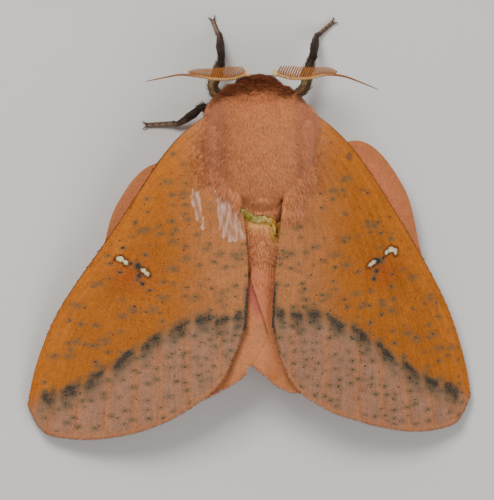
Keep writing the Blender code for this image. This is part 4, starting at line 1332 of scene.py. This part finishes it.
def slope_normals(side, count):
    """The roof's upward direction on one side, once for each root."""
    return np.tile(SLOPE_NORMAL * (side, 1, 1), (count, 1))


def plan_unwrap(place):
    """Places in a wing's plan on the flat map."""
    return (place + (0.0, 10.0)) / (18.5, 27.5)


for side, label in SIDES:
    plan = forewing_plans[side]
    share, v = rng.random(WING_SCALES), rng.uniform(0.12, 0.995, WING_SCALES) ** 0.62
    place, height, way = wing_spot(plan, share, v)
    facts = forewing_facts(place, side)
    facts["Fan"] = np.column_stack([share, v, np.full(len(v), side)])
    facts["Plan"] = in_plan(place, plan["shift"])
    keep = (facts["Worn"] < 0.3) & (place[:, 0] > SCALES_BEYOND[side])
    place, height, way = place[keep], height[keep], way[keep]
    facts = {key: values[keep] for key, values in facts.items()}
    count = len(place)
    lies = upright(side, way, np.zeros(count)) + 0.35 * rng.normal(size=(count, 3))
    sizes = tuft_sizes(count, rng, 0.2, 0.1, 0.2, 0.05)
    facts["Chance"] = rng.random(count)
    grow(f"forewing_{label}_scales", upright(side, place, height), slope_normals(side, count), lies,
         sizes, plan_unwrap(place), facts, forewing_mat, 1)

# %% Hair on the wing roots
ROOT_HAIRS = 8500
STRIP_HAIRS = 3000


def at_most(keep, most):
    """The same choice, ended after that many."""
    return keep & (np.cumsum(keep) <= most)


for side, label in SIDES:
    share, v = rng.random((2, ROOT_HAIRS * 3))
    place, height, _ = wing_spot(forewing_plans[side], share, v * 0.42)
    x, y = place.T
    y = y + 1.0 * (side > 0)
    wanted = np.maximum(fade(x, 3.6, 2.7) * fade(y, -0.6, -1.6), fade(x, 6.2, 4.0) * fade(y, -2.2, -4.2))
    facts = forewing_facts(place, side)
    keep = at_most((rng.random(len(x)) < wanted) & (facts["Worn"] < 0.2), ROOT_HAIRS)
    x, roots = x[keep], upright(side, place, height)[keep]
    count = len(roots)
    lies = np.column_stack([side * (0.25 + 0.1 * (x - 3)), np.ones(count), np.zeros(count)])
    lies = lies + 0.22 * rng.normal(size=lies.shape)
    sizes = tuft_sizes(count, rng, 0.4 + 0.8 * fade(x, 5.2, 3.2), 0.05, 0.45, 0.08)
    share_body = fade(x + 0.5 * rng.normal(size=count), 5.4, 3.0)[:, None]
    tint = body_tint(roots) * share_body * (1.12 if side > 0 else 1.0)
    tint = tint + facts["Ground"][keep][:, :3] * 1.3 * (1 - share_body)
    grow("wing_root_hair_" + label, roots, slope_normals(side, count), lies, sizes,
         plan_unwrap(place)[keep], {"Tint": colour(tint), "Chance": rng.random(count)},
         body_mat)

share, v = rng.uniform(0.5, 1.0, STRIP_HAIRS * 6), rng.random(STRIP_HAIRS * 6)
place, height, _ = wing_spot(hindwing_plans[-1], share, v)
keep = (np.abs(place[:, 0]) < 1.7) & (rng.random(len(v)) < fade(place[:, 1], 5.2, 2.8))
keep = at_most(keep, STRIP_HAIRS)
roots = upright(-1, place, height)[keep]
lies = np.column_stack([0.1 * roots[:, 0], np.ones(len(roots)), np.zeros(len(roots))])
sizes = tuft_sizes(len(roots), rng, 0.7, 0.05, 0.35, 0.05)
grow("strip_hair", roots, np.tile((0.0, 0.05, 1.0), (len(roots), 1)),
     lies + 0.18 * rng.normal(size=lies.shape), sizes, plan_unwrap(place)[keep] + (0.1, 0.0),
     coat_facts(roots), body_mat)

# %% Fringes
FRINGE = 1500
MARGIN_POINTS = 400


def fringe(kind, label, side, plan, length, facts_of, material, until=1.0):
    """Long scales along a wing's outer margin, up to that share of it."""
    share = np.sort(rng.random(FRINGE)) * until
    row = wing_place(plan, steps(MARGIN_POINTS), [1.0])[0]
    at = share * (MARGIN_POINTS - 2)
    low = at.astype(int)
    edge = row[low + 1] - row[low]
    place = row[low] + edge * (at - low)[:, None]
    out = unit(edge)[:, ::-1] * (1, -1)
    height = wing_height(place, share, np.ones(FRINGE), plan) - 0.1 * SHEET
    inside = place - out * 0.08
    facts = facts_of(inside)
    facts["Plan"] = in_plan(inside)
    facts["Chance"] = rng.random(FRINGE)
    facts["Costa"] = np.ones(FRINGE)
    facts["Fan"] = np.column_stack([share, np.ones(FRINGE), np.full(FRINGE, side)])
    facts["Ground"] = colour(facts["Ground"][:, :3] * 1.12)
    lies = upright(side, out, np.full(FRINGE, -0.1)) + 0.18 * rng.normal(size=(FRINGE, 3))
    long = length * (0.2 + 0.8 * fade(share, 0.0, 0.07))
    sizes = tuft_sizes(FRINGE, rng, long, 0.07, 0.12, 0.0)
    flat = np.column_stack([share, 0.5 + 0.4 * rng.random(FRINGE)])
    grow(f"{kind}_{label}_fringe", upright(side, inside, height), slope_normals(side, FRINGE), lies,
         sizes, flat, facts, material)


for side, label in SIDES:
    fringe("forewing", label, side, forewing_plans[side], 0.26,
           lambda place: forewing_facts(place, side), forewing_mat)
    fringe("hindwing", label, side, hindwing_plans[side], 0.36,
           lambda place: hindwing_facts(place, hindwing_plans[side]), hindwing_mat,
           0.87 if side > 0 else 1.0)

# %% [markdown]
# ## A dried drop
# Behind the thorax a drop of yellow fluid has dried on the hair. It could be a patch of paint,
# but fluid has a rounded wet edge and fills the gaps between hairs. It is a small sheet laid
# over a crooked line, thick in the middle, dropped onto whatever lies below by casting rays.

# %% Dried drop
DROP_HALF = 0.25
DROP_LIFT = 0.27
DROP_SUNK = 0.4
EASINGS = 6

below = []
for thing in ("body_skin", "forewing_left_sheet", "forewing_right_sheet"):
    mesh = bpy.data.objects[thing].data
    below.append(BVHTree.FromPolygons([v.co / MM for v in mesh.vertices],
                                      [tuple(p.vertices) for p in mesh.polygons]))


def resting_height(x, y):
    """Height of the topmost surface under a place."""
    hits = [tree.ray_cast(Vector((x, y, 12.0)), Vector((0, 0, -1)))[0] for tree in below]
    return max([0.0] + [hit.z for hit in hits if hit])


t, w = np.meshgrid(steps(70), np.linspace(-1, 1, 17), indexing="ij")
spine = smooth(DROP_LINE, t[:, 0])
way = unit(np.gradient(spine, axis=0))
aside = np.column_stack([-way[:, 1], way[:, 0]])
half = DROP_HALF * np.sin(math.pi * np.clip(t[:, 0], 0.03, 0.97)) ** 0.4
half = half * (1.0 + 0.6 * ripple(spine, 0.3) + 0.5 * fade(t[:, 0], 0.3, 0.0))
spots = (spine[:, None] + aside[:, None] * (w * half[:, None])[..., None]).reshape(-1, 2)
dome = np.sqrt(np.maximum(0.0, 1.0 - w.ravel() ** 2)) * 0.1 + 0.06 * ripple(spots, 0.2)
rest = np.array([resting_height(*spot) for spot in spots]).reshape(t.shape)
for _ in range(EASINGS):
    rest[1:-1] = (rest[:-2] + 2 * rest[1:-1] + rest[2:]) / 4
    rest[:, 1:-1] = (rest[:, :-2] + 2 * rest[:, 1:-1] + rest[:, 2:]) / 4
lift = rest.ravel() + DROP_LIFT
grid = np.arange(t.size).reshape(t.shape)
quads = np.stack([grid[:-1, :-1], grid[1:, :-1], grid[1:, 1:], grid[:-1, 1:]], -1).reshape(-1, 4)
rim = np.concatenate([grid[0, :-1], grid[:-1, -1], grid[-1, :0:-1], grid[:0:-1, 0]])
walls = np.stack([rim, np.roll(rim, -1), np.roll(rim, -1) + t.size, rim + t.size], -1)

drop_mat, g = new_material("dried_fluid", 0.2, Specular_IOR_Level=0.6, Coat_Weight=0.5)
where = g.own_place()
murk = g.noise(where, 2500.0, 4.0)
thin = g.band(murk, 0.36, 0.64)
olive = g.mix(thin, (0.27, 0.19, 0.006), (0.5, 0.41, 0.11))
amber = g.mix(thin, (0.46, 0.19, 0.008), (0.66, 0.37, 0.045))
across = g.put("SeparateXYZ", {0: where})[0]
g.finish(g.mix(g.band(across, 0.0003, -0.0006), olive, amber),
         g.band(murk, 0.3, 0.7, 0.12, 0.4), murk, 0.12, 0.8)
points = np.column_stack([np.tile(spots, (2, 1)), np.concatenate([lift + dome, lift - DROP_SUNK])])
faces = np.concatenate([quads[:, ::-1], quads + t.size, walls])
make_piece("dried_drop", points, faces, drop_mat)

# %% [markdown]
# ## Floor, light and camera
# The floor is plain and pale, so that nothing competes with the animal. A large soft light from
# above the head gives the fur its shape, and a weaker one fills the other side. The camera looks
# down on the back, rolled 11 degrees to the moth's left, through a long lens.

# %% Floor
FLOOR_CORNERS = [(-0.6, -0.6, 0), (0.6, -0.6, 0), (0.6, 0.6, 0), (-0.6, 0.6, 0)]
floor_mat, g = new_material("studio_floor", 0.85)
mist = g.noise(g.own_place(), 40.0, 2.0)
g.finish(g.mix(mist, (0.74, 0.73, 0.71), (0.80, 0.79, 0.77)))
floor_mesh = bpy.data.meshes.new("studio_floor")
floor_mesh.from_pydata(FLOOR_CORNERS, [], [(0, 1, 2, 3)])
floor_mesh.materials.append(floor_mat)
floor = bpy.data.objects.new("studio_floor", floor_mesh)
bpy.context.scene.collection.objects.link(floor)

# %% Lights
def soft_light(name, place, target, size, power, tone):
    """A square area light that looks at a point, sizes in millimetres."""
    data = bpy.data.lights.new(name, "AREA")
    data.size = size * MM
    data.energy = power
    data.color = tone
    lamp = bpy.data.objects.new(name, data)
    lamp.location = Vector(place) * MM
    lamp.rotation_euler = (Vector(target) - Vector(place)).to_track_quat("-Z", "Y").to_euler()
    bpy.context.scene.collection.objects.link(lamp)


soft_light("key_light", (110, -150, 260), (0, 2, 4), 120, 0.76, (1.0, 0.97, 0.93))
soft_light("fill_light", (-120, 160, 230), (0, 2, 4), 240, 0.36, (0.95, 0.97, 1.0))
world = bpy.data.worlds.new("studio_air")
world.use_nodes = True
world.node_tree.nodes["Background"].inputs["Color"].default_value = (1.0, 0.99, 0.97, 1.0)
world.node_tree.nodes["Background"].inputs["Strength"].default_value = 0.32
bpy.context.scene.world = world

# %% Camera
ROLL = math.radians(11.0)
TURN = math.radians(1.2)
TARGET = (1.43, 2.01, 7.5)
DISTANCE = 1500.0
LENS = 1350.0

camera_data = bpy.data.cameras.new("camera")
camera_data.lens = LENS
camera_data.sensor_width = 36.0
camera_data.clip_start = 0.01
camera_data.clip_end = 5.0
camera = bpy.data.objects.new("camera", camera_data)
bpy.context.scene.collection.objects.link(camera)
plain_right = Vector((-math.cos(ROLL), 0.0, math.sin(ROLL)))
down = Vector((0.0, 1.0, 0.0))
right = math.cos(TURN) * plain_right + math.sin(TURN) * down
up = math.sin(TURN) * plain_right - math.cos(TURN) * down
toward = Vector((math.sin(ROLL), 0.0, math.cos(ROLL)))
matrix = [[right[i], up[i], toward[i], (TARGET[i] + DISTANCE * toward[i]) * MM] for i in range(3)]
camera.matrix_world = Matrix((*matrix, (0.0, 0.0, 0.0, 1.0)))
bpy.context.scene.camera = camera
print("camera at", [round(v, 4) for v in camera.location])
